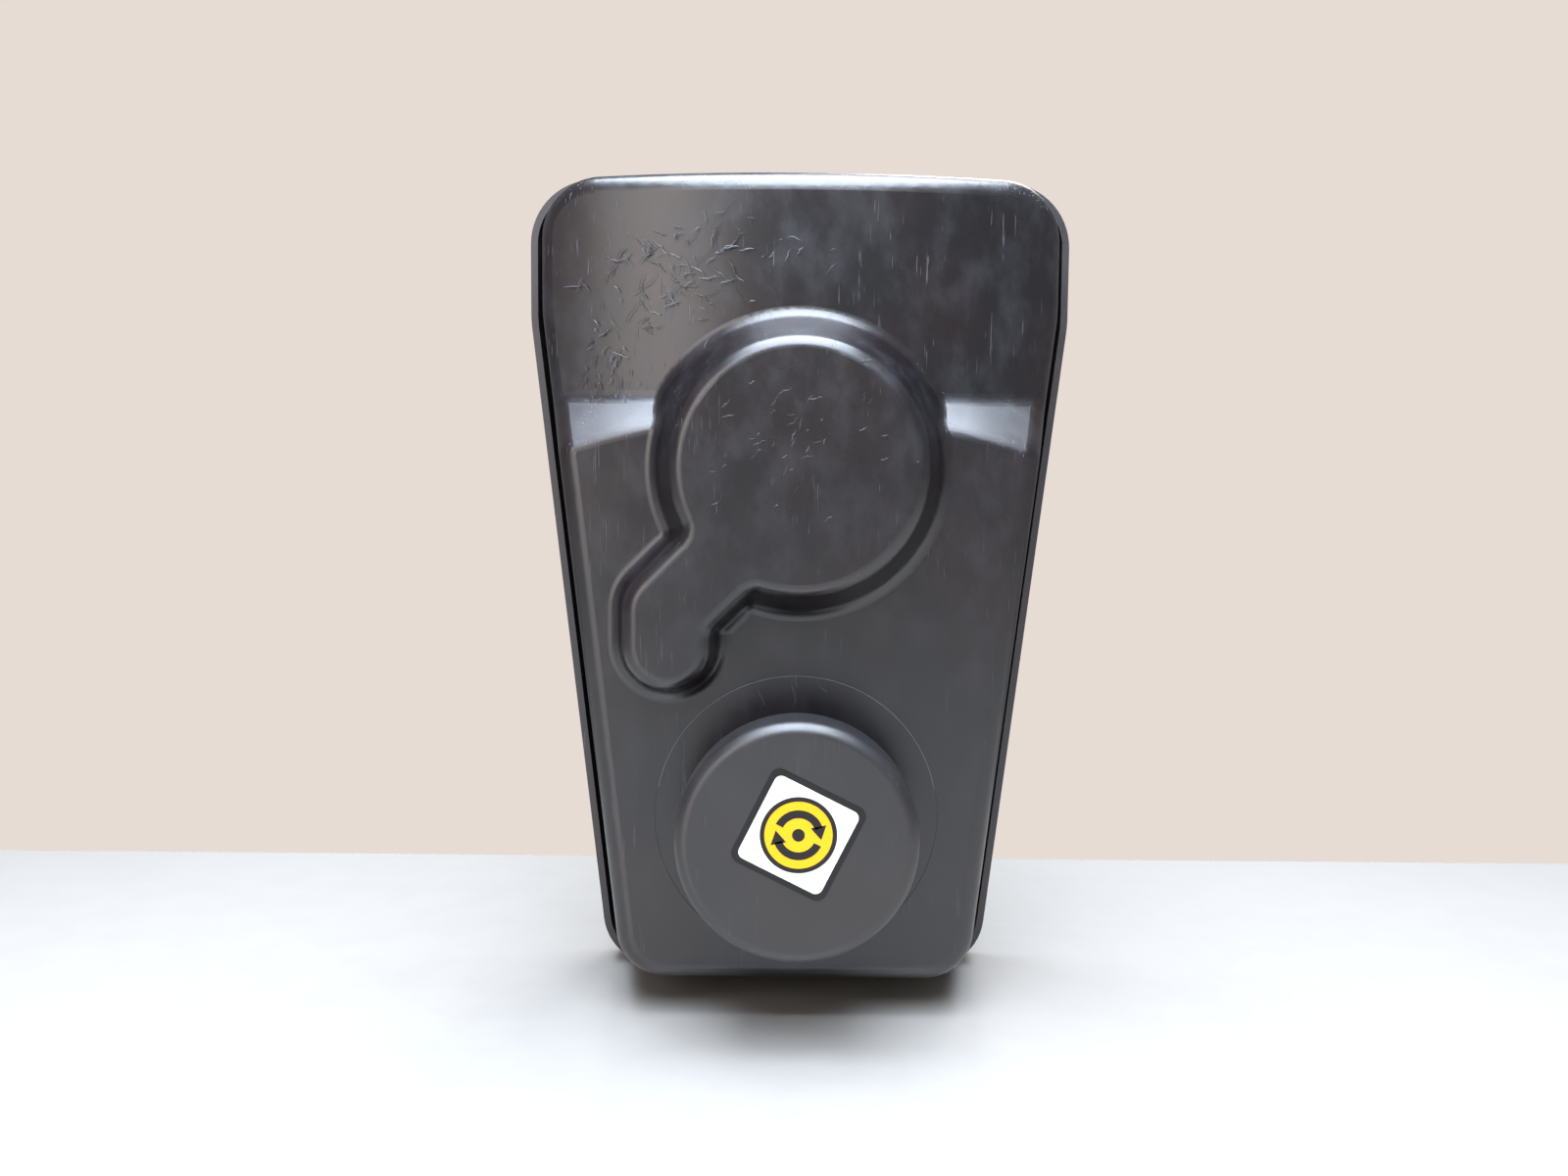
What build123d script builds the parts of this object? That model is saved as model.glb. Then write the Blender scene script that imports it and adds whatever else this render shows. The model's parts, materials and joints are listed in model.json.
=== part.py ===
"""Side-mounted garage door opener: a moulded cover over a spur gear train.

A motor turns a compound idler, the idler turns a hollow output collar that the door's
shaft fits, and a hand wheel on the front turns the same collar when the power is off.

Frame: X to the right, Y to the back, Z up. The origin is on the output collar's axis, in
the plane of the tray's back face. Inside this file a place is (x, height), with height
measured up from the tray's lowest edge, and forward is measured from its back face.
All sizes are in millimetres.
"""

from build123d import *
import math
import os

# ---------------------------------------------------------------- driving dimensions
# Tray: a shield outline, straight at the top and tapering below the knee
TRAY_HALF_WIDTH = 117.5
TRAY_HEIGHT = 350.0
KNEE_HEIGHT = 289.0
SIDE_TAPER = 0.1173
TOP_CORNER = 28.0
BOTTOM_CORNER = 24.0
KNEE_RADIUS = 60.0
TRAY_DEPTH = 20.0
WALL = 3.0

# Cover: sits inside the tray's rim, drawn in towards the front
COVER_GAP = 3.0
COVER_INSET = WALL + COVER_GAP
COVER_FOOT = 4.5
DRAFT_SIDE = 8.0
DRAFT_BOTTOM = 9.5
DRAFT_TOP = 0.6
LOFT_DEPTH = 92.0
LOWER_FACE = 82.0
CROWN_FACE = 77.0
CROWN_RADIUS = 300.0
STEP_HEIGHT = 248.0
STEP_RADIUS = 300.0
FRONT_FILLET = 8.0

# Dome over the motor and lobe over the capacitor
DOME_FACE = 100.0
DOME_BASE_RADIUS = 58.0
DOME_TOP_RADIUS = 49.5
DOME_FILLET = 6.0
DOME_ROOT_FILLET = 6.0
LOBE_BASE_RADIUS = 20.0
LOBE_DRAFT = 10.0
LOBE_END = (-51.5, 155.5)
LOBE_BEND = (-51.5, 169.0)
LOBE_ROOT = (-28.0, 192.5)
WITNESS_RADIUS = 57.0
WITNESS_WIDTH = 0.5
WITNESS_DEPTH = 0.3

# Gears: module and teeth of each one, and the two layers they lie in
COARSE = 1.5
FINE = 1.0
OUTPUT_TEETH = 64
HAND_TEETH = 30
IDLER_PINION_TEETH = 14
IDLER_WHEEL_TEETH = 70
MOTOR_TEETH = 12
ADDENDUM = 0.85
DEDENDUM = 1.2
PRESSURE_ANGLE = 25.0
BACKLASH = 0.2
COARSE_LAYER = (9.0, 19.0)
FINE_LAYER = (20.0, 26.0)

# Plates that carry the shafts
CHASSIS = (4.5, 6.5)
CHASSIS_SPAN = (20.0, 334.0)
CHASSIS_HALF = (64.0, 92.0)
GEAR_PLATE = (29.0, 31.0)
GEAR_PLATE_SPAN = (56.0, 270.0)
GEAR_PLATE_HALF = 70.0
PILLAR_RADIUS = 5.0
PILLARS = [(-52.0, 66.0), (52.0, 66.0), (-58.0, 250.0), (58.0, 250.0)]
CHASSIS_SCREWS = [(-56.0, 100.0), (56.0, 100.0), (-76.0, 262.0), (76.0, 262.0)]

# Output collar, for a 1 inch door shaft
COLLAR_BORE = 12.7
COLLAR_RADIUS = 20.0
COLLAR_BACK = -14.0
COLLAR_FRONT = 36.0
COLLAR_HOLE = 26.0
KEY_WIDTH = 6.0
SET_SCREW_RADIUS = 3.0
RUNNING = 0.05
CLIP_SPAN = (33.6, 35.0)
HUB_SPAN = (COARSE_LAYER[1], 25.0)

# Shafts and the bushes they run in
BUSH_WALL = 3.0
IDLER_SHAFT_RADIUS = 5.0

# Hand wheel
HAND_AXIS = (0.0, 85.0)
HAND_SHAFT_RADIUS = 6.0
WHEEL_RADIUS = 46.5
WHEEL_BACK = 105.0
WHEEL_FACE = 128.0
WHEEL_FILLET = 5.0
NECK_RADIUS = 13.0
NECK_BACK = 70.0
CAP_RADIUS = 9.0
LABEL_SIDE = 39.5
LABEL_CORNER = 4.0
LABEL_THICKNESS = 0.3
LABEL_TURN = -26.5
LABEL_OFFSET = (0.5, 4.0)
ENCODER_RADIUS = 19.0
ENCODER_SPAN = (37.0, 38.5)
ENCODER_SLOTS = 16
HAND_CLIP = (GEAR_PLATE[1] + 0.5, GEAR_PLATE[1] + 1.5)

# Motor
MOTOR_AXIS = (0.0, 226.0)
MOTOR_RADIUS = 41.0
CAN_INNER = 38.5
MOTOR_SPAN = (31.0, 92.0)
REAR_BELL = 7.0
FRONT_BELL = 12.0
MOTOR_SHAFT_RADIUS = 3.0
BEARING_RADIUS = 11.0
BEARING_WIDTH = 5.0
ROTOR_RADIUS = 22.0
AIR_GAP = 0.5
STACK = (45.0, 75.0)
MOTOR_BOLT_CIRCLE = 33.0

# Capacitor, standing on the gear plate inside the lobe
CAPACITOR_AXIS = (-51.5, 157.0)
CAPACITOR_RADIUS = 14.0
CAPACITOR_FACE = 87.0

# Circuit board
BOARD_HALF = 56.0
BOARD_SPAN = (275.0, 331.0)
BOARD_BACK = 40.0
BOARD_FACE = 41.6
BOARD_FIXINGS = [(-50.0, 281.0), (50.0, 281.0), (-50.0, 325.0), (50.0, 325.0)]
BUTTON_PLACE = (32.0, 322.0)
BUTTON_RADIUS = 2.0
BUTTON_TRAVEL = 0.8

# Fixings and the cable inlet
WALL_HOLE_X = 50.0
WALL_HOLE_HEIGHTS = (44.0, 306.0)
WALL_HOLE_RADIUS = 3.5
EAR_HEIGHTS = (76.0, 280.0)
EAR_SIZE = 15.0
EAR_DEPTH = 15.0
GROMMET_PLACE = (-30.0, 34.0)
GROMMET_NECK = 9.0


def pitch_radius(module, teeth):
    return module * teeth / 2


def meeting_point(first, first_reach, second, second_reach):
    """The point to the right of two places on one vertical line, at a set reach from each."""
    rise = second[1] - first[1]
    up = (first_reach**2 - second_reach**2 + rise**2) / (2 * rise)
    return first[0] + math.sqrt(first_reach**2 - up**2), first[1] + up


HAND_REACH = pitch_radius(COARSE, OUTPUT_TEETH) + pitch_radius(COARSE, HAND_TEETH)
OUTPUT_AXIS = (0.0, HAND_AXIS[1] + HAND_REACH)
IDLER_AXIS = meeting_point(
    OUTPUT_AXIS,
    pitch_radius(COARSE, OUTPUT_TEETH) + pitch_radius(COARSE, IDLER_PINION_TEETH),
    MOTOR_AXIS,
    pitch_radius(FINE, IDLER_WHEEL_TEETH) + pitch_radius(FINE, MOTOR_TEETH),
)
FROM_BACK = (Align.CENTER, Align.CENTER, Align.MIN)


# ---------------------------------------------------------------- placing and simple stock
def at(place, forward):
    """A location at (x, height) and forward, whose own Z points to the front."""
    origin = (place[0], -forward, place[1] - OUTPUT_AXIS[1])
    return Plane(origin=origin, x_dir=(1, 0, 0), z_dir=(0, -1, 0)).location


def disc(place, radius, back, front):
    return at(place, back) * Cylinder(radius, front - back, align=FROM_BACK)


def ring(place, outer, inner, back, front):
    return disc(place, outer, back, front) - disc(place, inner, back, front)


def block(place, width, height, back, front, corner=0.0):
    if corner:
        return at(place, back) * extrude(RectangleRounded(width, height, corner), front - back)
    return at(place, back) * Box(width, height, front - back, align=FROM_BACK)


def slab(sketch, back, front):
    """A front view drawn in (x, height), given thickness from back to front."""
    return at((0, 0), back) * extrude(sketch, front - back, dir=(0, 0, 1))


def screw(place, radius, head_radius, tip, seat, head_depth):
    """A slotted pan-head screw whose shank runs from tip to seat, with its head beyond it."""
    side = 1 if seat > tip else -1
    head_end = seat + side * head_depth
    slot_floor = head_end - side * 0.8
    head = disc(place, head_radius, min(seat, head_end), max(seat, head_end))
    slot = block(place, head_radius * 1.3, 0.9, min(slot_floor, head_end), max(slot_floor, head_end))
    return disc(place, radius, min(tip, seat), max(tip, seat)) + head - slot


def points_on_circle(centre, radius, count, start=0.0):
    """Places spaced evenly round a circle."""
    turns = [math.radians(start + 360 * i / count) for i in range(count)]
    return [(centre[0] + radius * math.cos(t), centre[1] + radius * math.sin(t)) for t in turns]


# ---------------------------------------------------------------- the shield outline
def half_width(height):
    """The tray's half width at a height, before the corners are rounded."""
    return TRAY_HALF_WIDTH - SIDE_TAPER * max(0.0, KNEE_HEIGHT - height)


def at_height(face, height):
    return face.vertices().filter_by(lambda v: abs(v.Y - height) < 0.01)


def shield(side=0.0, bottom=0.0, top=0.0, corner=0.0):
    """The tray's outline drawn in by side, bottom and top, with its corners less corner."""
    low = half_width(bottom) - side
    wide = TRAY_HALF_WIDTH - side
    high = TRAY_HEIGHT - top
    right = [(low, bottom), (wide, KNEE_HEIGHT), (wide, high)]
    left = [(-x, z) for x, z in reversed(right)]
    face = make_face(Polyline(*right, *left, close=True))
    face = fillet(at_height(face, bottom), BOTTOM_CORNER - corner)
    face = fillet(at_height(face, KNEE_HEIGHT), KNEE_RADIUS)
    return fillet(at_height(face, high), TOP_CORNER - corner)


def ear_places():
    """The four places where the cover is screwed to the tray, against its side walls."""
    places = []
    for height in EAR_HEIGHTS:
        x = half_width(height) - COVER_INSET - EAR_SIZE / 2
        places += [(-x, height), (x, height)]
    return places


def wall_hole_places():
    return [(x, z) for z in WALL_HOLE_HEIGHTS for x in (-WALL_HOLE_X, WALL_HOLE_X)]


# ---------------------------------------------------------------- casing
def back_tray():
    """A shallow tray with an upstanding rim; the cover stands inside the rim."""
    body = slab(shield(), 0, TRAY_DEPTH) - slab(shield(WALL, WALL, WALL, WALL), WALL, TRAY_DEPTH)
    for place in ear_places():
        body += disc(place, 5.5, WALL, COVER_FOOT - 0.2)
        body -= disc(place, 2.0, 0, COVER_FOOT)
        body -= disc(place, 4.0, 0, 2.3)
    for place in CHASSIS_SCREWS:
        body += disc(place, 5.0, WALL, CHASSIS[0])
        body -= disc(place, 2.0, 0.8, CHASSIS[0])
    for place in wall_hole_places():
        body += disc(place, 8.0, WALL, CHASSIS[0])
        body -= disc(place, WALL_HOLE_RADIUS, 0, CHASSIS[0])
    body -= disc(OUTPUT_AXIS, COLLAR_HOLE, 0, WALL)
    return body - disc(GROMMET_PLACE, GROMMET_NECK, 0, WALL)


def cover_section(forward, wall):
    """The cover's outline at one distance forward, drawn in by its drafts and by wall."""
    run = forward - TRAY_DEPTH
    side, bottom, top = (
        COVER_INSET + wall + run * math.tan(math.radians(draft))
        for draft in (DRAFT_SIDE, DRAFT_BOTTOM, DRAFT_TOP)
    )
    return at((0, 0), forward) * shield(side, bottom, top, COVER_INSET - 2)


def cover_body(wall):
    """The cover's solid form without its dome, with every face moved in by wall."""
    back = COVER_FOOT if wall == 0 else COVER_FOOT - 1
    form = loft([cover_section(back, wall), cover_section(LOFT_DEPTH, wall)], ruled=True)
    crown = Pos(0, CROWN_RADIUS - CROWN_FACE, TRAY_HEIGHT / 2 - OUTPUT_AXIS[1]) * Cylinder(
        CROWN_RADIUS - wall, TRAY_HEIGHT * 1.5
    )
    reach = STEP_RADIUS - wall * 0.4
    step = at((0, STEP_HEIGHT - STEP_RADIUS), 0) * Cone(
        reach + LOWER_FACE - wall, reach, LOWER_FACE - wall, align=FROM_BACK
    )
    return form & (crown + step)


def lobe(wall, front):
    """The lobe beside the dome: upright at its end, then slanting up into the dome."""
    root = 60.0
    radius = LOBE_BASE_RADIUS - wall + (LOWER_FACE - root) * math.tan(math.radians(LOBE_DRAFT))
    outline = Sketch()
    spine = [LOBE_END, LOBE_BEND, LOBE_ROOT]
    for (x1, z1), (x2, z2) in zip(spine, spine[1:]):
        length = math.hypot(x2 - x1, z2 - z1)
        turn = math.degrees(math.atan2(z2 - z1, x2 - x1))
        middle = Pos((x1 + x2) / 2, (z1 + z2) / 2)
        outline += middle * Rot(0, 0, turn) * SlotCenterToCenter(length, 2 * radius)
    return at((0, 0), root) * extrude(outline, front - root, taper=LOBE_DRAFT)


def dome(wall):
    """The round dome over the motor and its lobe, as one form moved in by wall."""
    slope = (DOME_BASE_RADIUS - DOME_TOP_RADIUS) / (DOME_FACE - LOWER_FACE)
    root = 55.0
    front = DOME_FACE - wall
    top = DOME_TOP_RADIUS - wall + wall * slope
    cone = at(MOTOR_AXIS, root) * Cone(top + (front - root) * slope, top, front - root, align=FROM_BACK)
    return cone + lobe(wall, front)


def place_of(edge):
    """An edge's centre as x, height and forward."""
    centre = edge.center()
    return centre.X, centre.Z + OUTPUT_AXIS[1], -centre.Y


def is_crease(edge):
    """Whether a dome edge is one of the two creases where the lobe runs into the cone."""
    return edge.geom_type == GeomType.HYPERBOLA


def is_dome_root(edge, face):
    """Whether an edge of the joined form is where the dome or its lobe meets the cover."""
    x, height, forward = place_of(edge)
    off_axis = math.hypot(x - MOTOR_AXIS[0], height - MOTOR_AXIS[1])
    beside_dome = abs(off_axis - DOME_BASE_RADIUS) < 9 and forward < face + 0.5
    beside_lobe = -74 < x < -20 and 130 < height < 215 and abs(forward - face) < 0.5
    return forward > 50 and (beside_dome or beside_lobe)


def cover_form(wall):
    """The cover's form with its edges rounded, every face moved in by wall.

    The dome's root is rounded on the outside only, so the wall is thicker along it.
    """
    body = cover_body(wall)
    body = fillet([e for e in body.edges() if place_of(e)[2] > 50], FRONT_FILLET - wall)
    top = dome(wall)
    top = fillet([e for e in top.edges() if is_crease(e)], DOME_ROOT_FILLET)
    front = DOME_FACE - wall
    top = fillet([e for e in top.edges() if abs(place_of(e)[2] - front) < 0.01], DOME_FILLET - wall)
    form = body + top
    if wall:
        return form
    return fillet([e for e in form.edges() if is_dome_root(e, LOWER_FACE)], DOME_ROOT_FILLET)


def front_cover():
    """The moulded cover: a hollow shell with a hole for the hand wheel's neck."""
    body = cover_form(0.0) - cover_form(WALL)
    inside = slab(shield(COVER_INSET + 1, COVER_INSET + 1, COVER_INSET + 1, COVER_INSET), 0, EAR_DEPTH)
    for place in ear_places():
        body += block(place, EAR_SIZE, EAR_SIZE, COVER_FOOT, EAR_DEPTH) & inside
        body -= disc(place, 1.6, COVER_FOOT, EAR_DEPTH - 2)
    body -= disc(HAND_AXIS, NECK_RADIUS + 2, LOWER_FACE - 2 * WALL, LOWER_FACE + 1)
    return body - ring(
        HAND_AXIS, WITNESS_RADIUS + WITNESS_WIDTH, WITNESS_RADIUS, LOWER_FACE - WITNESS_DEPTH, LOWER_FACE + 1
    )


def neck_bush():
    """A plain bush pressed into the cover, in which the hand wheel's neck turns."""
    inner = NECK_RADIUS + RUNNING
    inside = LOWER_FACE - WALL
    flange = ring(HAND_AXIS, NECK_RADIUS + 5, inner, inside - 2, inside)
    return flange + ring(HAND_AXIS, NECK_RADIUS + 2, inner, inside, LOWER_FACE + 0.8)


def cover_screws():
    return Compound([screw(p, 1.6, 3.5, EAR_DEPTH - 3, 2.3, 1.9) for p in ear_places()])


def cable_grommet():
    """A rubber grommet in the tray's floor, closed by a thin skin until a cable is fitted."""
    sleeve = ring(GROMMET_PLACE, GROMMET_NECK, 6.0, 0.4, WALL)
    flange = ring(GROMMET_PLACE, GROMMET_NECK + 2.5, 6.0, WALL, CHASSIS[0] - 0.2)
    return sleeve + flange + disc(GROMMET_PLACE, 6.0, 1.8, WALL)


# ---------------------------------------------------------------- plates
def bushed_axes():
    """Each shaft's axis with its radius, for the two plates' bush holes."""
    return [(HAND_AXIS, HAND_SHAFT_RADIUS), (IDLER_AXIS, IDLER_SHAFT_RADIUS)]


def chassis_plate():
    """The steel plate behind the gears, which carries every load to the wall screws."""
    low, high = CHASSIS_SPAN
    narrow, wide = CHASSIS_HALF
    outline = make_face(Polyline((narrow, low), (wide, high), (-wide, high), (-narrow, low), close=True))
    body = slab(fillet(outline.vertices(), 12), *CHASSIS)
    for place in wall_hole_places():
        body -= disc(place, WALL_HOLE_RADIUS, *CHASSIS)
    for place in CHASSIS_SCREWS:
        body -= disc(place, 2.0, *CHASSIS)
    for place in PILLARS:
        body -= disc(place, 2.0, *CHASSIS)
    for place in BOARD_FIXINGS:
        body -= disc(place, 1.5, *CHASSIS)
    for place, radius in bushed_axes():
        body -= disc(place, radius + BUSH_WALL, *CHASSIS)
    body -= disc(OUTPUT_AXIS, COLLAR_RADIUS + BUSH_WALL, *CHASSIS)
    return body - disc(GROMMET_PLACE, GROMMET_NECK + 4, *CHASSIS)


def chassis_screws():
    return Compound([screw(p, 2.0, 3.8, 0.8, CHASSIS[1], 2.2) for p in CHASSIS_SCREWS])


def gear_plate():
    """The steel plate in front of the gears, which carries the motor."""
    low, high = GEAR_PLATE_SPAN
    body = block((0, (low + high) / 2), 2 * GEAR_PLATE_HALF, high - low, *GEAR_PLATE, corner=12)
    for place in PILLARS + motor_screw_places() + clamp_screw_places():
        body -= disc(place, 2.0, *GEAR_PLATE)
    for place, radius in bushed_axes():
        body -= disc(place, radius + BUSH_WALL, *GEAR_PLATE)
    body -= disc(OUTPUT_AXIS, COLLAR_RADIUS + BUSH_WALL, *GEAR_PLATE)
    body -= disc(sensor_place(), 1.5, *GEAR_PLATE)
    return body - disc(MOTOR_AXIS, 9.0, *GEAR_PLATE)


def pillars():
    """Steel pillars that hold the two plates apart, threaded at both ends."""
    bars = []
    for place in PILLARS:
        bar = disc(place, PILLAR_RADIUS, CHASSIS[1], GEAR_PLATE[0])
        bar -= disc(place, 2.0, GEAR_PLATE[0] - 8, GEAR_PLATE[0])
        bars.append(bar - disc(place, 2.0, CHASSIS[1], CHASSIS[1] + 6))
    return Compound(bars)


def pillar_screws():
    front = [screw(p, 2.0, 4.0, GEAR_PLATE[0] - 8, GEAR_PLATE[1], 2.4) for p in PILLARS]
    rear = [disc(p, 2.0, CHASSIS[0] - 1.2, CHASSIS[1] + 6) for p in PILLARS]
    return Compound(front + rear)


def collar_bushes():
    """Flanged plain bushes in both plates, in which the output collar turns."""
    inner = COLLAR_RADIUS + RUNNING
    outer = COLLAR_RADIUS + BUSH_WALL
    rear = ring(OUTPUT_AXIS, outer, inner, 1.0, CHASSIS[1])
    rear += ring(OUTPUT_AXIS, outer + 3, inner, CHASSIS[1], COARSE_LAYER[0] - 0.6)
    front = ring(OUTPUT_AXIS, outer, inner, GEAR_PLATE[0], GEAR_PLATE[1] + 2)
    front += ring(OUTPUT_AXIS, outer + 3, inner, FINE_LAYER[1] + 0.8, GEAR_PLATE[0])
    return Compound([rear, front])


def shaft_bushes():
    """Plain bushes of the hand shaft and the idler shaft, one in each plate."""
    bushes = []
    for place, radius in bushed_axes():
        inner = radius + RUNNING
        outer = radius + BUSH_WALL
        rear = ring(place, outer, inner, WALL + 0.2, CHASSIS[1])
        bushes.append(rear + ring(place, outer + 2, inner, CHASSIS[1], COARSE_LAYER[0] - 0.6))
        front = ring(place, outer, inner, GEAR_PLATE[0], GEAR_PLATE[1])
        bushes.append(front + ring(place, outer + 2, inner, FINE_LAYER[1] + 0.8, GEAR_PLATE[0]))
    return Compound(bushes)


# ---------------------------------------------------------------- gears
def involute(radius, base):
    """The involute angle at a radius, for a base circle."""
    roll = math.acos(min(1.0, base / radius))
    return math.tan(roll) - roll


def polar(radius, angle):
    return radius * math.cos(angle), radius * math.sin(angle)


def toothed_outline(module, teeth, turn):
    """A spur gear's outline with involute flanks; turn is where one tooth points, in degrees."""
    pitch = pitch_radius(module, teeth)
    base = pitch * math.cos(math.radians(PRESSURE_ANGLE))
    root = pitch - DEDENDUM * module
    tip = pitch + ADDENDUM * module
    half = math.pi / (2 * teeth) - BACKLASH / (4 * pitch) + involute(pitch, base)
    start = max(base, root)
    flank = [(r, half - involute(r, base)) for r in (start, (start + tip) / 2, tip)]
    edges = []
    for i in range(teeth):
        middle = math.radians(turn) + 2 * math.pi * i / teeth
        following = middle + 2 * math.pi / teeth
        rising = [polar(r, middle - a) for r, a in flank]
        falling = [polar(r, middle + a) for r, a in reversed(flank)]
        foot = polar(root, middle + flank[0][1])
        next_foot = polar(root, following - flank[0][1])
        next_rise = polar(start, following - flank[0][1])
        edges += [Spline(*rising), Line(rising[-1], falling[0]), Spline(*falling)]
        if start > root:
            edges += [Line(falling[-1], foot), Line(foot, next_foot), Line(next_foot, next_rise)]
        else:
            edges += [Line(falling[-1], next_rise)]
    return make_face(edges)


def spur_gear(place, module, teeth, turn, bore, layer):
    back, front = layer
    outline = toothed_outline(module, teeth, turn) - Circle(bore)
    return at(place, back) * extrude(outline, front - back, dir=(0, 0, 1))


def mating_turn(first, first_teeth, first_turn, second, second_teeth):
    """Where a tooth of the second gear points, so that it meshes with the first."""
    heading = math.degrees(math.atan2(second[1] - first[1], second[0] - first[0]))
    first_pitch = 360 / first_teeth
    second_pitch = 360 / second_teeth
    passed = (heading - first_turn) / first_pitch
    return heading + 180 - second_pitch * (0.5 - passed)


def lightened(gear, place, reach, radius, count, layer):
    """A gear with round holes through its web."""
    for hole in points_on_circle(place, reach, count, 30):
        gear -= disc(hole, radius, *layer)
    return gear


OUTPUT_TURN = 0.0
HAND_TURN = mating_turn(OUTPUT_AXIS, OUTPUT_TEETH, OUTPUT_TURN, HAND_AXIS, HAND_TEETH)
IDLER_PINION_TURN = mating_turn(OUTPUT_AXIS, OUTPUT_TEETH, OUTPUT_TURN, IDLER_AXIS, IDLER_PINION_TEETH)
IDLER_WHEEL_TURN = 0.0
MOTOR_TURN = mating_turn(IDLER_AXIS, IDLER_WHEEL_TEETH, IDLER_WHEEL_TURN, MOTOR_AXIS, MOTOR_TEETH)


# ---------------------------------------------------------------- output
def key_slot():
    """The key between collar and gear, standing half in each."""
    place = (OUTPUT_AXIS[0], OUTPUT_AXIS[1] + COLLAR_RADIUS)
    return block(place, KEY_WIDTH, 5.0, *COARSE_LAYER)


def set_screw(side):
    """One of the two screws that clamp the door's shaft behind the tray."""
    start = COLLAR_BORE + 0.4
    length = COLLAR_RADIUS - start - 0.4
    place = Pos(side * (start + length / 2), -COLLAR_BACK / 2 - 0.5, 0)
    socket = Pos(side * (COLLAR_RADIUS - 1.4), -COLLAR_BACK / 2 - 0.5, 0) * Rot(0, 90, 0)
    return place * Rot(0, 90, 0) * Cylinder(SET_SCREW_RADIUS, length) - socket * extrude(
        RegularPolygon(1.7, 6), 2.4, both=True
    )


def output_collar():
    """The hollow collar that the door's shaft fits, with its two set screw holes."""
    body = ring(OUTPUT_AXIS, COLLAR_RADIUS, COLLAR_BORE, COLLAR_BACK, COLLAR_FRONT)
    body = chamfer(body.edges().filter_by(GeomType.CIRCLE), 0.6)
    across = Pos(0, -COLLAR_BACK / 2 - 0.5, 0) * Rot(0, 90, 0)
    body -= across * Cylinder(SET_SCREW_RADIUS, 3 * COLLAR_RADIUS)
    body -= ring(OUTPUT_AXIS, COLLAR_RADIUS + 1, COLLAR_RADIUS - 1, *CLIP_SPAN)
    return body - key_slot()


def output_gear():
    gear = spur_gear(OUTPUT_AXIS, COARSE, OUTPUT_TEETH, OUTPUT_TURN, COLLAR_RADIUS, COARSE_LAYER)
    gear = lightened(gear, OUTPUT_AXIS, 34.0, 6.0, 6, COARSE_LAYER)
    return gear - key_slot()


def set_screws():
    return Compound([set_screw(-1), set_screw(1)])


def collar_clip():
    """The spring clip in the collar's groove, in front of its front bush."""
    clip = ring(OUTPUT_AXIS, COLLAR_RADIUS + 2.5, COLLAR_RADIUS - 1, *CLIP_SPAN)
    gap = (OUTPUT_AXIS[0], OUTPUT_AXIS[1] + COLLAR_RADIUS + 1)
    return clip - block(gap, 7.0, 8.0, *CLIP_SPAN)


# ---------------------------------------------------------------- hand wheel


def hand_pin():
    """The pin through the hand gear's hub and the shaft."""
    middle = (HUB_SPAN[0] + HUB_SPAN[1]) / 2
    place = Pos(HAND_AXIS[0], -middle, HAND_AXIS[1] - OUTPUT_AXIS[1])
    return place * Rot(0, 90, 0) * Cylinder(1.5, 22.0)


def hand_shaft():
    body = disc(HAND_AXIS, HAND_SHAFT_RADIUS, WALL + 0.6, WHEEL_FACE - 10)
    body -= disc(HAND_AXIS, 2.5, WHEEL_FACE - 24, WHEEL_FACE - 10)
    body -= ring(HAND_AXIS, HAND_SHAFT_RADIUS + 1, HAND_SHAFT_RADIUS - 0.6, *HAND_CLIP)
    return body - hand_pin()


def hand_gear():
    gear = spur_gear(HAND_AXIS, COARSE, HAND_TEETH, HAND_TURN, HAND_SHAFT_RADIUS, COARSE_LAYER)
    return gear + ring(HAND_AXIS, 11.0, HAND_SHAFT_RADIUS, *HUB_SPAN) - hand_pin()


def hand_clip():
    """The spring clip that keeps the hand shaft in its bushes."""
    clip = ring(HAND_AXIS, HAND_SHAFT_RADIUS + 2.5, HAND_SHAFT_RADIUS - 0.6, *HAND_CLIP)
    return clip - block((HAND_AXIS[0], HAND_AXIS[1] + HAND_SHAFT_RADIUS + 1), 4.0, 6.0, *HAND_CLIP)


def encoder_disc():
    """A slotted disc on the hand shaft, which tells the board how far the door has moved."""
    body = ring(HAND_AXIS, ENCODER_RADIUS, HAND_SHAFT_RADIUS, *ENCODER_SPAN)
    body += ring(HAND_AXIS, HAND_SHAFT_RADIUS + 3, HAND_SHAFT_RADIUS, ENCODER_SPAN[1], ENCODER_SPAN[1] + 6)
    for i in range(ENCODER_SLOTS):
        turned = Rot(0, 0, 360 * i / ENCODER_SLOTS) * Pos(ENCODER_RADIUS - 4.5, 0)
        body -= at(HAND_AXIS, ENCODER_SPAN[0]) * turned * Box(5.0, 1.8, 1.5, align=FROM_BACK)
    return body


def sensor_place():
    return HAND_AXIS[0] + ENCODER_RADIUS + 5.0, HAND_AXIS[1]


def encoder_sensor():
    """The fork-shaped light gate that the slotted disc passes through."""
    x, height = sensor_place()
    body = block((x - 1.0, height), 12.0, 12.0, GEAR_PLATE[1], ENCODER_SPAN[1] + 4.5)
    throat = block((x - 6.0, height), 10.0, 14.0, ENCODER_SPAN[0] - 1.2, ENCODER_SPAN[1] + 1.2)
    return body - throat + disc((x, height), 1.5, *GEAR_PLATE)


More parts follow.
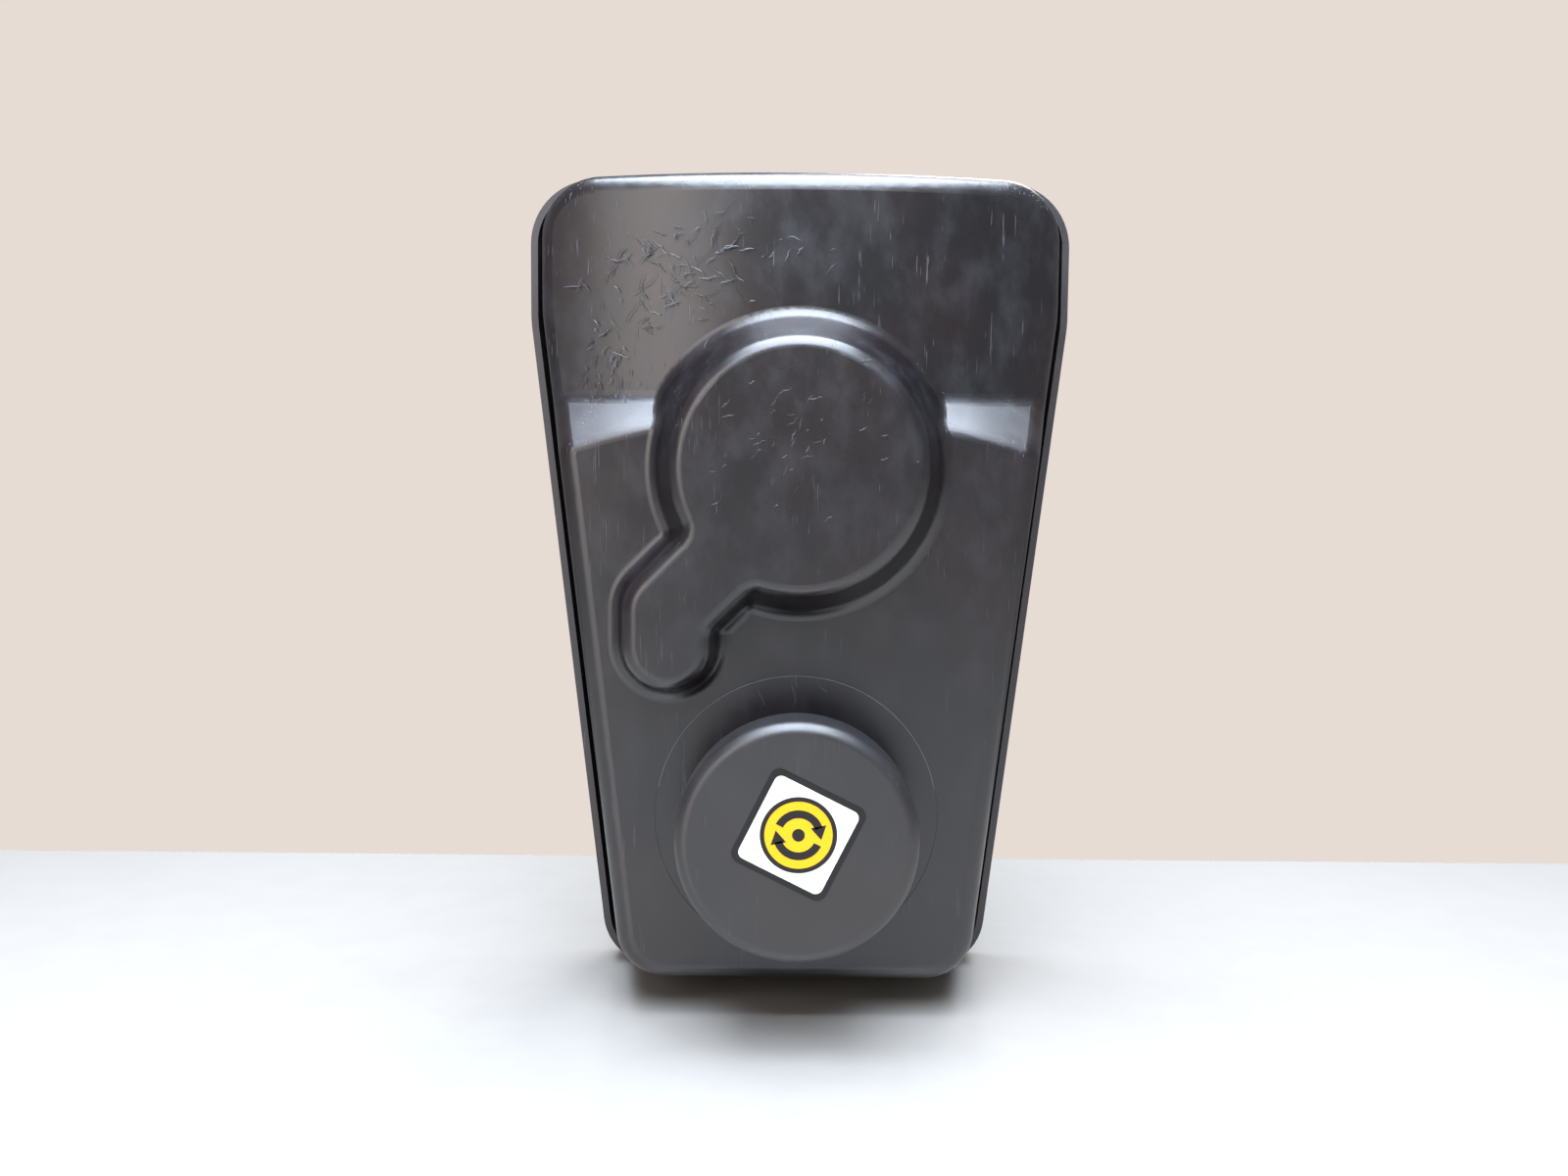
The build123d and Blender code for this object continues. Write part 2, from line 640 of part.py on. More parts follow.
def hand_wheel():
    """The round hand wheel, with a pocket for its screw in the middle of its face."""
    rim = disc(HAND_AXIS, WHEEL_RADIUS, WHEEL_BACK, WHEEL_FACE)
    front = rim.edges().filter_by(GeomType.CIRCLE).sort_by(Axis.Y)[0]
    rear = rim.edges().filter_by(GeomType.CIRCLE).sort_by(Axis.Y)[-1]
    rim = fillet(front, WHEEL_FILLET)
    rim = fillet(rim.edges().filter_by(GeomType.CIRCLE).sort_by(Axis.Y)[-1], 2.5)
    body = rim - disc(HAND_AXIS, HAND_SHAFT_RADIUS, WHEEL_BACK, WHEEL_FACE - 10)
    body -= disc(HAND_AXIS, 2.5, WHEEL_FACE - 10, WHEEL_FACE - 8)
    return body - disc(HAND_AXIS, CAP_RADIUS, WHEEL_FACE - 8, WHEEL_FACE)


def wheel_neck():
    """The tube behind the wheel, which turns in the cover's bush."""
    return ring(HAND_AXIS, NECK_RADIUS, HAND_SHAFT_RADIUS, NECK_BACK, WHEEL_BACK)


def wheel_screw():
    return screw(HAND_AXIS, 2.5, 5.5, WHEEL_FACE - 24, WHEEL_FACE - 8, 3.5)


def wheel_cap():
    """The plug over the wheel's screw, flush with the wheel's face."""
    return disc(HAND_AXIS, CAP_RADIUS, WHEEL_FACE - 3, WHEEL_FACE)


def wheel_label():
    """The square label on the wheel's face, turned a little clockwise."""
    place = (HAND_AXIS[0] + LABEL_OFFSET[0], HAND_AXIS[1] + LABEL_OFFSET[1])
    outline = Rot(0, 0, LABEL_TURN) * RectangleRounded(LABEL_SIDE, LABEL_SIDE, LABEL_CORNER)
    return at(place, WHEEL_FACE) * extrude(outline, LABEL_THICKNESS)


# ---------------------------------------------------------------- idler
def idler_shaft():
    return disc(IDLER_AXIS, IDLER_SHAFT_RADIUS, WALL + 0.6, GEAR_PLATE[1] - 0.5)


def idler_pinion():
    pinion = spur_gear(
        IDLER_AXIS, COARSE, IDLER_PINION_TEETH, IDLER_PINION_TURN, IDLER_SHAFT_RADIUS, COARSE_LAYER
    )
    return pinion + ring(IDLER_AXIS, 8.0, IDLER_SHAFT_RADIUS, COARSE_LAYER[1], FINE_LAYER[0])


def idler_wheel():
    wheel = spur_gear(
        IDLER_AXIS, FINE, IDLER_WHEEL_TEETH, IDLER_WHEEL_TURN, IDLER_SHAFT_RADIUS, FINE_LAYER
    )
    return lightened(wheel, IDLER_AXIS, 21.0, 6.5, 6, FINE_LAYER)


# ---------------------------------------------------------------- motor
def motor_screw_places():
    return points_on_circle(MOTOR_AXIS, MOTOR_BOLT_CIRCLE, 3)


def rear_bell():
    """The motor's rear end, bolted to the gear plate, with its bearing's seat."""
    back = MOTOR_SPAN[0]
    front = back + REAR_BELL
    body = disc(MOTOR_AXIS, MOTOR_RADIUS, back, front)
    body -= disc(MOTOR_AXIS, BEARING_RADIUS, front - BEARING_WIDTH, front)
    body -= disc(MOTOR_AXIS, 8.0, back, front)
    for place in motor_screw_places():
        body -= disc(place, 2.0, back, front - 1.5)
    return body


def motor_can():
    """The drawn steel tube round the stator."""
    back = MOTOR_SPAN[0] + REAR_BELL
    return ring(MOTOR_AXIS, MOTOR_RADIUS, CAN_INNER, back, MOTOR_SPAN[1] - FRONT_BELL)


def front_bell():
    """The motor's front end, with cooling slots round its bearing's seat."""
    front = MOTOR_SPAN[1]
    back = front - FRONT_BELL
    body = disc(MOTOR_AXIS, MOTOR_RADIUS, back, front)
    body = fillet(body.edges().filter_by(GeomType.CIRCLE).sort_by(Axis.Y)[0], 4.0)
    body -= disc(MOTOR_AXIS, CAN_INNER - 1, back, front - 3)
    body += disc(MOTOR_AXIS, BEARING_RADIUS + 3, front - 3 - BEARING_WIDTH, front - 3)
    body -= disc(MOTOR_AXIS, BEARING_RADIUS, front - 3 - BEARING_WIDTH, front - 3)
    for place in points_on_circle(MOTOR_AXIS, 26.0, 8):
        body -= disc(place, 4.0, front - 3, front)
    return body


def motor_screws():
    tip = MOTOR_SPAN[0] + REAR_BELL - 1.5
    return Compound([screw(p, 2.0, 3.5, tip, GEAR_PLATE[0], 2.0) for p in motor_screw_places()])


def motor_bearings():
    """The outer rings, shields and inner rings of both bearings, as one sleeve each."""
    inner = MOTOR_SHAFT_RADIUS + RUNNING
    back = MOTOR_SPAN[0] + REAR_BELL - BEARING_WIDTH
    front = MOTOR_SPAN[1] - 3 - BEARING_WIDTH
    return Compound([ring(MOTOR_AXIS, BEARING_RADIUS, inner, b, b + BEARING_WIDTH) for b in (back, front)])


def stator_core():
    """The stack of steel sheets with its slots for the windings."""
    bore = ROTOR_RADIUS + AIR_GAP
    body = ring(MOTOR_AXIS, CAN_INNER, bore, *STACK)
    for place in points_on_circle(MOTOR_AXIS, 28.5, 12, 15):
        body -= disc(place, 3.6, *STACK)
    return body


def stator_windings():
    """Copper wound through the stator's slots, with an end turn at both ends."""
    back = ring(MOTOR_AXIS, 35.0, 25.0, STACK[0] - 6, STACK[0])
    front = ring(MOTOR_AXIS, 35.0, 25.0, STACK[1], STACK[1] + 6)
    turns = back + front
    for place in points_on_circle(MOTOR_AXIS, 28.5, 12, 15):
        turns += disc(place, 3.1, *STACK)
    return turns


def motor_shaft():
    return disc(MOTOR_AXIS, MOTOR_SHAFT_RADIUS, FINE_LAYER[0], MOTOR_SPAN[1] - 3.5)


def rotor_core():
    """The rotor's steel stack with the short-circuit rings at its ends."""
    body = ring(MOTOR_AXIS, ROTOR_RADIUS, MOTOR_SHAFT_RADIUS, *STACK)
    body += ring(MOTOR_AXIS, ROTOR_RADIUS - 2, ROTOR_RADIUS - 8, STACK[0] - 3, STACK[0])
    return body + ring(MOTOR_AXIS, ROTOR_RADIUS - 2, ROTOR_RADIUS - 8, STACK[1], STACK[1] + 3)


def motor_pinion():
    return spur_gear(MOTOR_AXIS, FINE, MOTOR_TEETH, MOTOR_TURN, MOTOR_SHAFT_RADIUS, FINE_LAYER)


# ---------------------------------------------------------------- capacitor
def clamp_screw_places():
    x, height = CAPACITOR_AXIS
    return [(x, height - CAPACITOR_RADIUS - 7), (x, height + CAPACITOR_RADIUS + 7)]


def capacitor():
    """The motor's run capacitor: a can with a rolled edge and four blade terminals."""
    body = disc(CAPACITOR_AXIS, CAPACITOR_RADIUS, GEAR_PLATE[1] + 1.5, CAPACITOR_FACE)
    body = fillet(body.edges().filter_by(GeomType.CIRCLE), 1.5)
    x, height = CAPACITOR_AXIS
    for dx in (-4.0, 4.0):
        for dz in (-4.0, 4.0):
            body += block((x + dx, height + dz), 0.8, 5.0, CAPACITOR_FACE, CAPACITOR_FACE + 6)
    return body


def capacitor_clamp():
    """The strap that holds the capacitor to the gear plate by two feet."""
    back = GEAR_PLATE[1]
    body = ring(CAPACITOR_AXIS, CAPACITOR_RADIUS + 1.5, CAPACITOR_RADIUS, back + 4, back + 20)
    x, height = CAPACITOR_AXIS
    length = 2 * CAPACITOR_RADIUS + 24
    foot = block(CAPACITOR_AXIS, 10.0, length, back, back + 1.5)
    for side in (-1, 1):
        tab = (x, height + side * (CAPACITOR_RADIUS + 1.25))
        foot += block(tab, 10.0, 2.3, back + 1.5, back + 8)
    body += foot
    body -= disc(CAPACITOR_AXIS, CAPACITOR_RADIUS, back + 1.5, back + 20)
    for place in clamp_screw_places():
        body -= disc(place, 2.0, back, back + 1.5)
    return body


def clamp_screws():
    seat = GEAR_PLATE[1] + 1.5
    return Compound([screw(p, 2.0, 3.8, GEAR_PLATE[0] - 1, seat, 2.2) for p in clamp_screw_places()])


def capacitor_leads():
    """Two insulated leads from the capacitor to the motor, through the slanting part of the lobe."""
    leads = []
    x, height = CAPACITOR_AXIS
    for dx, dz in ((6.5, -2.0), (4.0, 9.5)):
        start = Vector(x + dx, -CAPACITOR_FACE - 3, height + dz - OUTPUT_AXIS[1])
        along = Vector(MOTOR_AXIS[0] - x, 0, MOTOR_AXIS[1] - height).normalized()
        reach = math.hypot(MOTOR_AXIS[0] - x - dx, MOTOR_AXIS[1] - height - dz) - MOTOR_RADIUS - 1.5
        end = start + along * reach + Vector(0, 6, 0)
        path = Spline(start, start + along * reach * 0.5 + Vector(0, -1, 0), end)
        leads.append(sweep(Plane(origin=path @ 0, z_dir=path % 0) * Circle(1.2), path=path))
    return Compound(leads)


# ---------------------------------------------------------------- circuit board
def circuit_board():
    height = (BOARD_SPAN[0] + BOARD_SPAN[1]) / 2
    body = block((0, height), 2 * BOARD_HALF, BOARD_SPAN[1] - BOARD_SPAN[0], BOARD_BACK, BOARD_FACE, corner=3)
    for place in BOARD_FIXINGS:
        body -= disc(place, 1.5, BOARD_BACK, BOARD_FACE)
    return body


def board_spacers():
    """Long spacers that hold the board off the chassis plate."""
    spacers = []
    for place in BOARD_FIXINGS:
        bar = disc(place, 4.0, CHASSIS[1], BOARD_BACK) - disc(place, 1.5, BOARD_BACK - 8, BOARD_BACK)
        spacers.append(bar - disc(place, 1.5, CHASSIS[1], CHASSIS[1] + 5))
    return Compound(spacers)


def board_screws():
    front = [screw(p, 1.5, 2.8, BOARD_BACK - 8, BOARD_FACE, 1.8) for p in BOARD_FIXINGS]
    rear = [disc(p, 1.5, CHASSIS[0] - 1.2, CHASSIS[1] + 5) for p in BOARD_FIXINGS]
    return Compound(front + rear)


def transformer():
    """The board's mains transformer: a laminated core round its coil."""
    place = (-26.0, 303.0)
    core = block(place, 30.0, 26.0, BOARD_FACE + 4, BOARD_FACE + 20)
    coil = block(place, 22.0, 34.0, BOARD_FACE, BOARD_FACE + 24, corner=3)
    return core + coil


def relays():
    """Two relays that reverse the motor and one for the lamp."""
    return Compound([block((x, 288.0), 14.0, 17.0, BOARD_FACE, BOARD_FACE + 15) for x in (2.0, 19.0, 36.0)])


def terminal_block():
    """The row of screw terminals for the mains and the wall switch."""
    body = block((8.0, 324.0), 32.0, 9.0, BOARD_FACE, BOARD_FACE + 11)
    for i in range(5):
        x = 8.0 + (i - 2) * 6.0
        body -= disc((x, 324.0), 2.1, BOARD_FACE + 8, BOARD_FACE + 11)
    return body


def fuse():
    """A glass fuse lying in its two clips."""
    x, height = 10.0, 307.0
    tube = Pos(x, -BOARD_FACE - 5, height - OUTPUT_AXIS[1]) * Rot(0, 90, 0) * Cylinder(2.6, 20.0)
    clips = [block((x + side * 7.5, height), 5.0, 7.0, BOARD_FACE, BOARD_FACE + 6) for side in (-1, 1)]
    return tube + clips[0] + clips[1]


def learn_switch():
    """The switch housing round the learn button's plunger."""
    return ring_block(BUTTON_PLACE, 7.0, BUTTON_RADIUS + 0.3, BOARD_FACE, BOARD_FACE + 4)


def ring_block(place, side, inner, back, front):
    return block(place, side, side, back, front) - disc(place, inner, back + 1, front)


def learn_button():
    """The plunger that is pressed to pair a remote control; it has 0.8 mm of travel."""
    return disc(BUTTON_PLACE, BUTTON_RADIUS, BOARD_FACE + 1 + BUTTON_TRAVEL + 0.4, BOARD_FACE + 7)


def status_lamp():
    """The small lamp beside the learn button."""
    body = disc((44.0, 312.0), 2.5, BOARD_FACE, BOARD_FACE + 6)
    return fillet(body.edges().filter_by(GeomType.CIRCLE).sort_by(Axis.Y)[0], 2.0)


PARTS = [
    back_tray, front_cover, neck_bush, cover_screws, cable_grommet,
    chassis_plate, chassis_screws, gear_plate, pillars, pillar_screws, collar_bushes, shaft_bushes,
    output_collar, output_gear, set_screws, collar_clip,
    hand_shaft, hand_gear, hand_pin, hand_clip, encoder_disc, encoder_sensor,
    hand_wheel, wheel_neck, wheel_screw, wheel_cap, wheel_label,
    idler_shaft, idler_pinion, idler_wheel,
    rear_bell, motor_can, front_bell, motor_screws, motor_bearings, stator_core, stator_windings,
    motor_shaft, rotor_core, motor_pinion,
    capacitor, capacitor_clamp, clamp_screws, capacitor_leads,
    circuit_board, board_spacers, board_screws, transformer, relays, terminal_block, fuse,
    learn_switch, learn_button, status_lamp,
]

if __name__ == "__main__":
    os.makedirs("parts", exist_ok=True)
    for make in PARTS:
        export_step(make(), f"parts/{make.__name__}.step")
    export_step(key_slot(), "parts/output_key.step")
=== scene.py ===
"""Looks of a side-mounted garage door opener: finishes, fine pieces, light and camera.

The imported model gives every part's shape and place. This script gives each part its finish,
adds the printed sign, the scored marks and the saw burrs, and sets up the studio.
"""

import json
import logging
import math
import random
from dataclasses import dataclass, field
from enum import Enum

import bmesh
import bpy
from mathutils import Matrix, Vector


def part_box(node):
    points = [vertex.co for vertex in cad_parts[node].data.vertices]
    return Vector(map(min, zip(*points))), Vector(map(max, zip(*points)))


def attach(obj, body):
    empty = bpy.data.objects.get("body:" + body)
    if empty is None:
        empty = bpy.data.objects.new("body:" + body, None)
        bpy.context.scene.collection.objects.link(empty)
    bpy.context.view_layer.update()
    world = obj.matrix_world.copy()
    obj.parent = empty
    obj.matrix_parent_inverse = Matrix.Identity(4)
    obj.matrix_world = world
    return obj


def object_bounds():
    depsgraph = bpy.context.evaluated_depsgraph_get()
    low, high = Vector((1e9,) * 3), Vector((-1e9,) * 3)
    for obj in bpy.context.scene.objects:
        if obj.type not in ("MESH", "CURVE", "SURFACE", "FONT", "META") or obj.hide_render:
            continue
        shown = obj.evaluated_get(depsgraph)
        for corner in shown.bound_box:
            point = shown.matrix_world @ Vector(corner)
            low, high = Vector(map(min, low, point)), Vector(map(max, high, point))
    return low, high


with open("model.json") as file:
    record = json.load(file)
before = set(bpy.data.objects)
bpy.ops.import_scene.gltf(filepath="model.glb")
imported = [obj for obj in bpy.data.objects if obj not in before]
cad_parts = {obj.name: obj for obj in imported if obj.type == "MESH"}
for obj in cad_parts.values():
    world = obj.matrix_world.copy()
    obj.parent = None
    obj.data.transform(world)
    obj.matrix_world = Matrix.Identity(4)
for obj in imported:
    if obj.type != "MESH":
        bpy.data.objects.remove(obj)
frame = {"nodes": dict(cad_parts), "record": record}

log = logging.getLogger("opener")
CAD_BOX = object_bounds()
MM = 0.001

Colour = tuple[float, float, float, float]


# ---------------------------------------------------------------- nodes and colours
def linear(code: str) -> Colour:
    """Turn an sRGB hex value into a linear colour.

    Args:
        code: The colour as six hex digits.

    Returns:
        Linear red, green, blue and an alpha of one.
    """
    parts = [int(code[i:i + 2], 16) / 255 for i in (0, 2, 4)]
    lit = [c / 12.92 if c <= 0.04045 else ((c + 0.055) / 1.055) ** 2.4 for c in parts]
    return lit[0], lit[1], lit[2], 1.0


def add_node(tree: bpy.types.NodeTree, kind: str, settings: dict | None = None,
             inputs: dict | None = None) -> bpy.types.Node:
    """Add a shader node with its settings, values and links.

    Args:
        tree: The material's node tree.
        kind: The node's Blender type name.
        settings: Properties of the node itself.
        inputs: Input name or index, with a value or another node's output socket.

    Returns:
        The new node.
    """
    node = tree.nodes.new(kind)
    for name, value in (settings or {}).items():
        setattr(node, name, value)
    for name, value in (inputs or {}).items():
        if isinstance(value, bpy.types.NodeSocket):
            tree.links.new(value, node.inputs[name])
        else:
            node.inputs[name].default_value = value
    return node


def start_material(name: str) -> tuple[bpy.types.Material, bpy.types.NodeTree, bpy.types.NodeSocket]:
    """Make an empty node material.

    Args:
        name: The material's name.

    Returns:
        The material, its tree, and the Object coordinates to draw patterns on.
    """
    material = bpy.data.materials.new(name)
    material.use_nodes = True
    tree = material.node_tree
    tree.nodes.clear()
    place = add_node(tree, "ShaderNodeTexCoord").outputs["Object"]
    return material, tree, place


def close_material(tree: bpy.types.NodeTree, inputs: dict) -> None:
    """Add the surface shader and the output.

    Args:
        tree: The material's node tree.
        inputs: The shader's values and links.
    """
    surface = add_node(tree, "ShaderNodeBsdfPrincipled", inputs=inputs)
    add_node(tree, "ShaderNodeOutputMaterial", inputs={"Surface": surface.outputs["BSDF"]})


def noise(tree: bpy.types.NodeTree, place: bpy.types.NodeSocket, size: float,
          detail: float = 3.0, stretch: tuple[float, float, float] = (1, 1, 1)) -> bpy.types.NodeSocket:
    """A cloudy pattern.

    Args:
        tree: The material's node tree.
        place: The coordinates it is drawn on.
        size: The clouds' size in metres.
        detail: How many finer layers it has.
        stretch: How much longer the clouds are along each axis.

    Returns:
        A value about 0.5, from 0 to 1.
    """
    scale = tuple(1 / s for s in stretch)
    moved = add_node(tree, "ShaderNodeMapping", inputs={"Vector": place, "Scale": scale})
    cloud = add_node(tree, "ShaderNodeTexNoise", inputs={
        "Vector": moved.outputs["Vector"], "Scale": 1 / size, "Detail": detail, "Roughness": 0.6})
    return cloud.outputs["Fac"]


def ramp(tree: bpy.types.NodeTree, value: bpy.types.NodeSocket, low: float, high: float,
         to_low: float = 0.0, to_high: float = 1.0) -> bpy.types.NodeSocket:
    """Spread a value from low..high over to_low..to_high, held at both ends.

    Args:
        tree: The material's node tree.
        value: The value to spread.
        low: Where it starts.
        high: Where it ends.
        to_low: What it gives at the start.
        to_high: What it gives at the end.

    Returns:
        The spread value.
    """
    spread = add_node(tree, "ShaderNodeMapRange", {"interpolation_type": "SMOOTHSTEP"}, {
        "Value": value, "From Min": low, "From Max": high, "To Min": to_low, "To Max": to_high})
    return spread.outputs["Result"]


def blend_colours(tree: bpy.types.NodeTree, share: bpy.types.NodeSocket | float, first: object,
                  second: object) -> bpy.types.NodeSocket:
    """Mix two colours.

    Args:
        tree: The material's node tree.
        share: How much of the second one.
        first: A colour or a colour socket.
        second: A colour or a colour socket.

    Returns:
        The mixed colour.
    """
    mixed = add_node(tree, "ShaderNodeMix", {"data_type": "RGBA"}, {0: share, 6: first, 7: second})
    return mixed.outputs[2]


def combine(tree: bpy.types.NodeTree, operation: str, first: object,
            second: object) -> bpy.types.NodeSocket:
    """Work out a sum, product or other combination of two values.

    Args:
        tree: The material's node tree.
        operation: The Math node's operation.
        first: A value or socket.
        second: A value or socket.

    Returns:
        The result.
    """
    return add_node(tree, "ShaderNodeMath", {"operation": operation}, {0: first, 1: second}).outputs[0]


def scores(tree: bpy.types.NodeTree, place: bpy.types.NodeSocket, width: float, length: float,
           turn: tuple[float, float, float], share: float) -> bpy.types.NodeSocket:
    """Fine scores in one rough direction, gathered in loose groups.

    Args:
        tree: The material's node tree.
        place: The coordinates they are drawn on.
        width: The width of a score in metres.
        length: The length of a score in metres.
        turn: Their direction, as a rotation in radians.
        share: Where a score starts in the pattern; higher gives fewer scores.

    Returns:
        One on a score and zero elsewhere.
    """
    turned = add_node(tree, "ShaderNodeMapping", inputs={
        "Vector": place, "Rotation": turn, "Scale": (1 / width, 1 / width, 1 / length)})
    drawn = add_node(tree, "ShaderNodeTexNoise", inputs={
        "Vector": turned.outputs["Vector"], "Scale": 0.35, "Detail": 1.0, "Roughness": 0.4})
    line = ramp(tree, drawn.outputs["Fac"], share, share + 0.05)
    groups = ramp(tree, noise(tree, place, 0.018, 2.0), 0.50, 0.62)
    return combine(tree, "MULTIPLY", line, groups)


# ---------------------------------------------------------------- finishes
class Grain(Enum):
    """How a metal's surface was made, which decides the direction of its fine lines."""

    ROLLED = (1.0, 1.0, 14.0)
    TURNED = (1.0, 18.0, 1.0)
    CAST = (1.0, 1.0, 1.0)


@dataclass(frozen=True)
class ScuffedPolyethylene:
    """Black polyethylene, vacuum formed and handled for years.

    It gives a soft wide gloss, a brown cast in the flats, pale bloom where it has been rubbed
    and more of it towards the top as a painted sheen of the overhead light, and short scores from tools.

    Attributes:
        name: The material's name.
        base: The colour of the clean plastic.
        warm: The colour of its brown patches.
        rubbed: The colour where it has been rubbed pale.
        gloss: The roughness of the clean plastic.
        wear: How much of the surface is rubbed and scored, from 0 to 1.
        upper_sheen_and_wear: Extra pale bloom and scores above the step, partly wear and partly painted
            sheen of the overhead light.
        wave_mm: The height of the slow unevenness left by the forming.
        ior: The index of refraction, raised for the wax bloom that makes old edges shine.
    """

    name: str
    base: str = "110f12"
    warm: str = "170f11"
    rubbed: str = "47484e"
    gloss: float = 0.30
    wear: float = 0.5
    upper_sheen_and_wear: float = 0.0
    wave_mm: float = 0.35
    ior: float = 1.75

    def build(self) -> bpy.types.Material:
        """Make the material."""
        material, tree, place = start_material(self.name)
        parted = add_node(tree, "ShaderNodeSeparateXYZ", inputs={"Vector": place})
        # the height share makes the upper part paler: painted sheen of the light from above
        height = ramp(tree, parted.outputs["Z"], 0.05, 0.11)
        # patches of brown cast, about 60 mm across
        patches = ramp(tree, noise(tree, place, 0.060, 2.0), 0.42, 0.62)
        colour = blend_colours(tree, patches, linear(self.base), linear(self.warm))
        # rubbed bloom in soft patches 14 mm wide, paler towards the top: wear, plus a painted sheen of the
        # overhead light
        streaks = noise(tree, place, 0.014, 4.0, (1, 1, 1.6))
        wear_and_sheen_share = add_node(tree, "ShaderNodeMath", {"operation": "MULTIPLY_ADD"}, {
            0: height, 1: self.upper_sheen_and_wear, 2: self.wear}).outputs[0]
        rubbed = combine(tree, "MULTIPLY", ramp(tree, streaks, 0.42, 0.72), wear_and_sheen_share)
        colour = blend_colours(tree, combine(tree, "MULTIPLY", rubbed, 0.18), colour, linear(self.rubbed))
        # scores 0.25 mm wide, 9 mm long one way and 5 mm the other
        long_scores = scores(tree, place, 0.00025, 0.009, (0.0, 0.6, 0.2), 0.68)
        short_scores = scores(tree, place, 0.00025, 0.005, (0.3, -1.0, 0.0), 0.70)
        marks = combine(tree, "MULTIPLY", combine(tree, "MAXIMUM", long_scores, short_scores), wear_and_sheen_share)
        colour = blend_colours(tree, combine(tree, "MULTIPLY", marks, 0.3), colour, linear("85878c"))
        # handling grain, 0.7 mm
        fine = noise(tree, place, 0.0007, 2.0)
        rough = ramp(tree, combine(tree, "ADD", streaks, combine(tree, "MULTIPLY", fine, 0.3)),
                     0.45, 0.9, self.gloss - 0.02, self.gloss + 0.05)
        # slow waves 45 mm long, then the grain, then the scores cut in
        waves = add_node(tree, "ShaderNodeBump", inputs={
            "Strength": 0.5, "Distance": self.wave_mm * MM, "Height": noise(tree, place, 0.045, 1.0)})
        grain = add_node(tree, "ShaderNodeBump", inputs={
            "Strength": 0.2, "Distance": 0.00006, "Height": fine, "Normal": waves.outputs["Normal"]})
        cut = add_node(tree, "ShaderNodeBump", {"invert": True}, {
            "Strength": 0.5, "Distance": 0.00015, "Height": marks, "Normal": grain.outputs["Normal"]})
        close_material(tree, {"Base Color": colour, "Roughness": rough, "IOR": self.ior,
                              "Normal": cut.outputs["Normal"]})
        return material


@dataclass(frozen=True)
class MouldedPlastic:
    """Injection moulded plastic with a fine spark-eroded texture.

    It gives an even colour, a satin sheen and a faint grain.

    Attributes:
        name: The material's name.
        colour: The plastic's colour.
        shade: A slightly different colour that it drifts to.
        gloss: The roughness.
        grain_mm: The size of the texture.
        depth_mm: The depth of the texture.
        ior: The index of refraction.
    """

    name: str
    colour: str
    shade: str
    gloss: float = 0.45
    grain_mm: float = 0.5
    depth_mm: float = 0.04
    ior: float = 1.49

    def build(self) -> bpy.types.Material:
        """Make the material."""
        material, tree, place = start_material(self.name)
        drift = ramp(tree, noise(tree, place, 0.025, 3.0), 0.35, 0.7)
        grain = noise(tree, place, self.grain_mm * MM, 2.0)
        rough = ramp(tree, drift, 0.0, 1.0, self.gloss - 0.04, self.gloss + 0.06)
        bump = add_node(tree, "ShaderNodeBump", inputs={
            "Strength": 0.4, "Distance": self.depth_mm * MM, "Height": grain})
        close_material(tree, {
            "Base Color": blend_colours(tree, drift, linear(self.colour), linear(self.shade)),
            "Roughness": rough, "IOR": self.ior, "Normal": bump.outputs["Normal"]})
        return material


@dataclass(frozen=True)
class WorkedMetal:
    """A metal with the fine lines of how it was made.

    It gives a coloured gloss that stretches across the lines, and a little oil or dust.

    Attributes:
        name: The material's name.
        colour: The metal's colour.
        stain: The colour of its dull patches.
        gloss: The roughness.
        grain: How the surface was made.
        line_mm: The spacing of the lines.
        patch_mm: The size of the dull patches.
    """

    name: str
    colour: str
    stain: str
    gloss: float = 0.3
    grain: Grain = Grain.ROLLED
    line_mm: float = 0.4
    patch_mm: float = 14.0

    def build(self) -> bpy.types.Material:
        """Make the material."""
        material, tree, place = start_material(self.name)
        lines = noise(tree, place, self.line_mm * MM, 2.0, self.grain.value)
        patches = ramp(tree, noise(tree, place, self.patch_mm * MM, 4.0), 0.48, 0.7)
        rough = ramp(tree, combine(tree, "ADD", lines, patches), 0.3, 1.6, self.gloss - 0.06,
                     self.gloss + 0.2)
        bump = add_node(tree, "ShaderNodeBump", inputs={
            "Strength": 0.3, "Distance": 0.00004, "Height": lines})
        close_material(tree, {
            "Base Color": blend_colours(tree, patches, linear(self.colour), linear(self.stain)),
            "Metallic": 1.0, "Roughness": rough, "Normal": bump.outputs["Normal"]})
        return material


@dataclass(frozen=True)
class StackedSheet:
    """Electrical steel sheets, stacked and varnished: fine dark lines between bright edges.

    Attributes:
        name: The material's name.
        sheet_mm: The thickness of one sheet, drawn coarse enough to show.
    """

    name: str
    sheet_mm: float = 1.0

    def build(self) -> bpy.types.Material:
        """Make the material."""
        material, tree, place = start_material(self.name)
        band = add_node(tree, "ShaderNodeTexWave", {"wave_type": "BANDS", "bands_direction": "Y"}, {
            "Vector": place, "Scale": 0.314 / (self.sheet_mm * MM), "Distortion": 0.4, "Detail": 1.0})
        edge = ramp(tree, band.outputs["Fac"], 0.1, 0.45)
        bump = add_node(tree, "ShaderNodeBump", inputs={
            "Strength": 0.5, "Distance": 0.0001, "Height": edge})
        close_material(tree, {
            "Base Color": blend_colours(tree, edge, linear("2e2b2a"), linear("77777a")),
            "Metallic": 0.8, "Roughness": ramp(tree, edge, 0.0, 1.0, 0.6, 0.38),
            "Normal": bump.outputs["Normal"]})
        return material


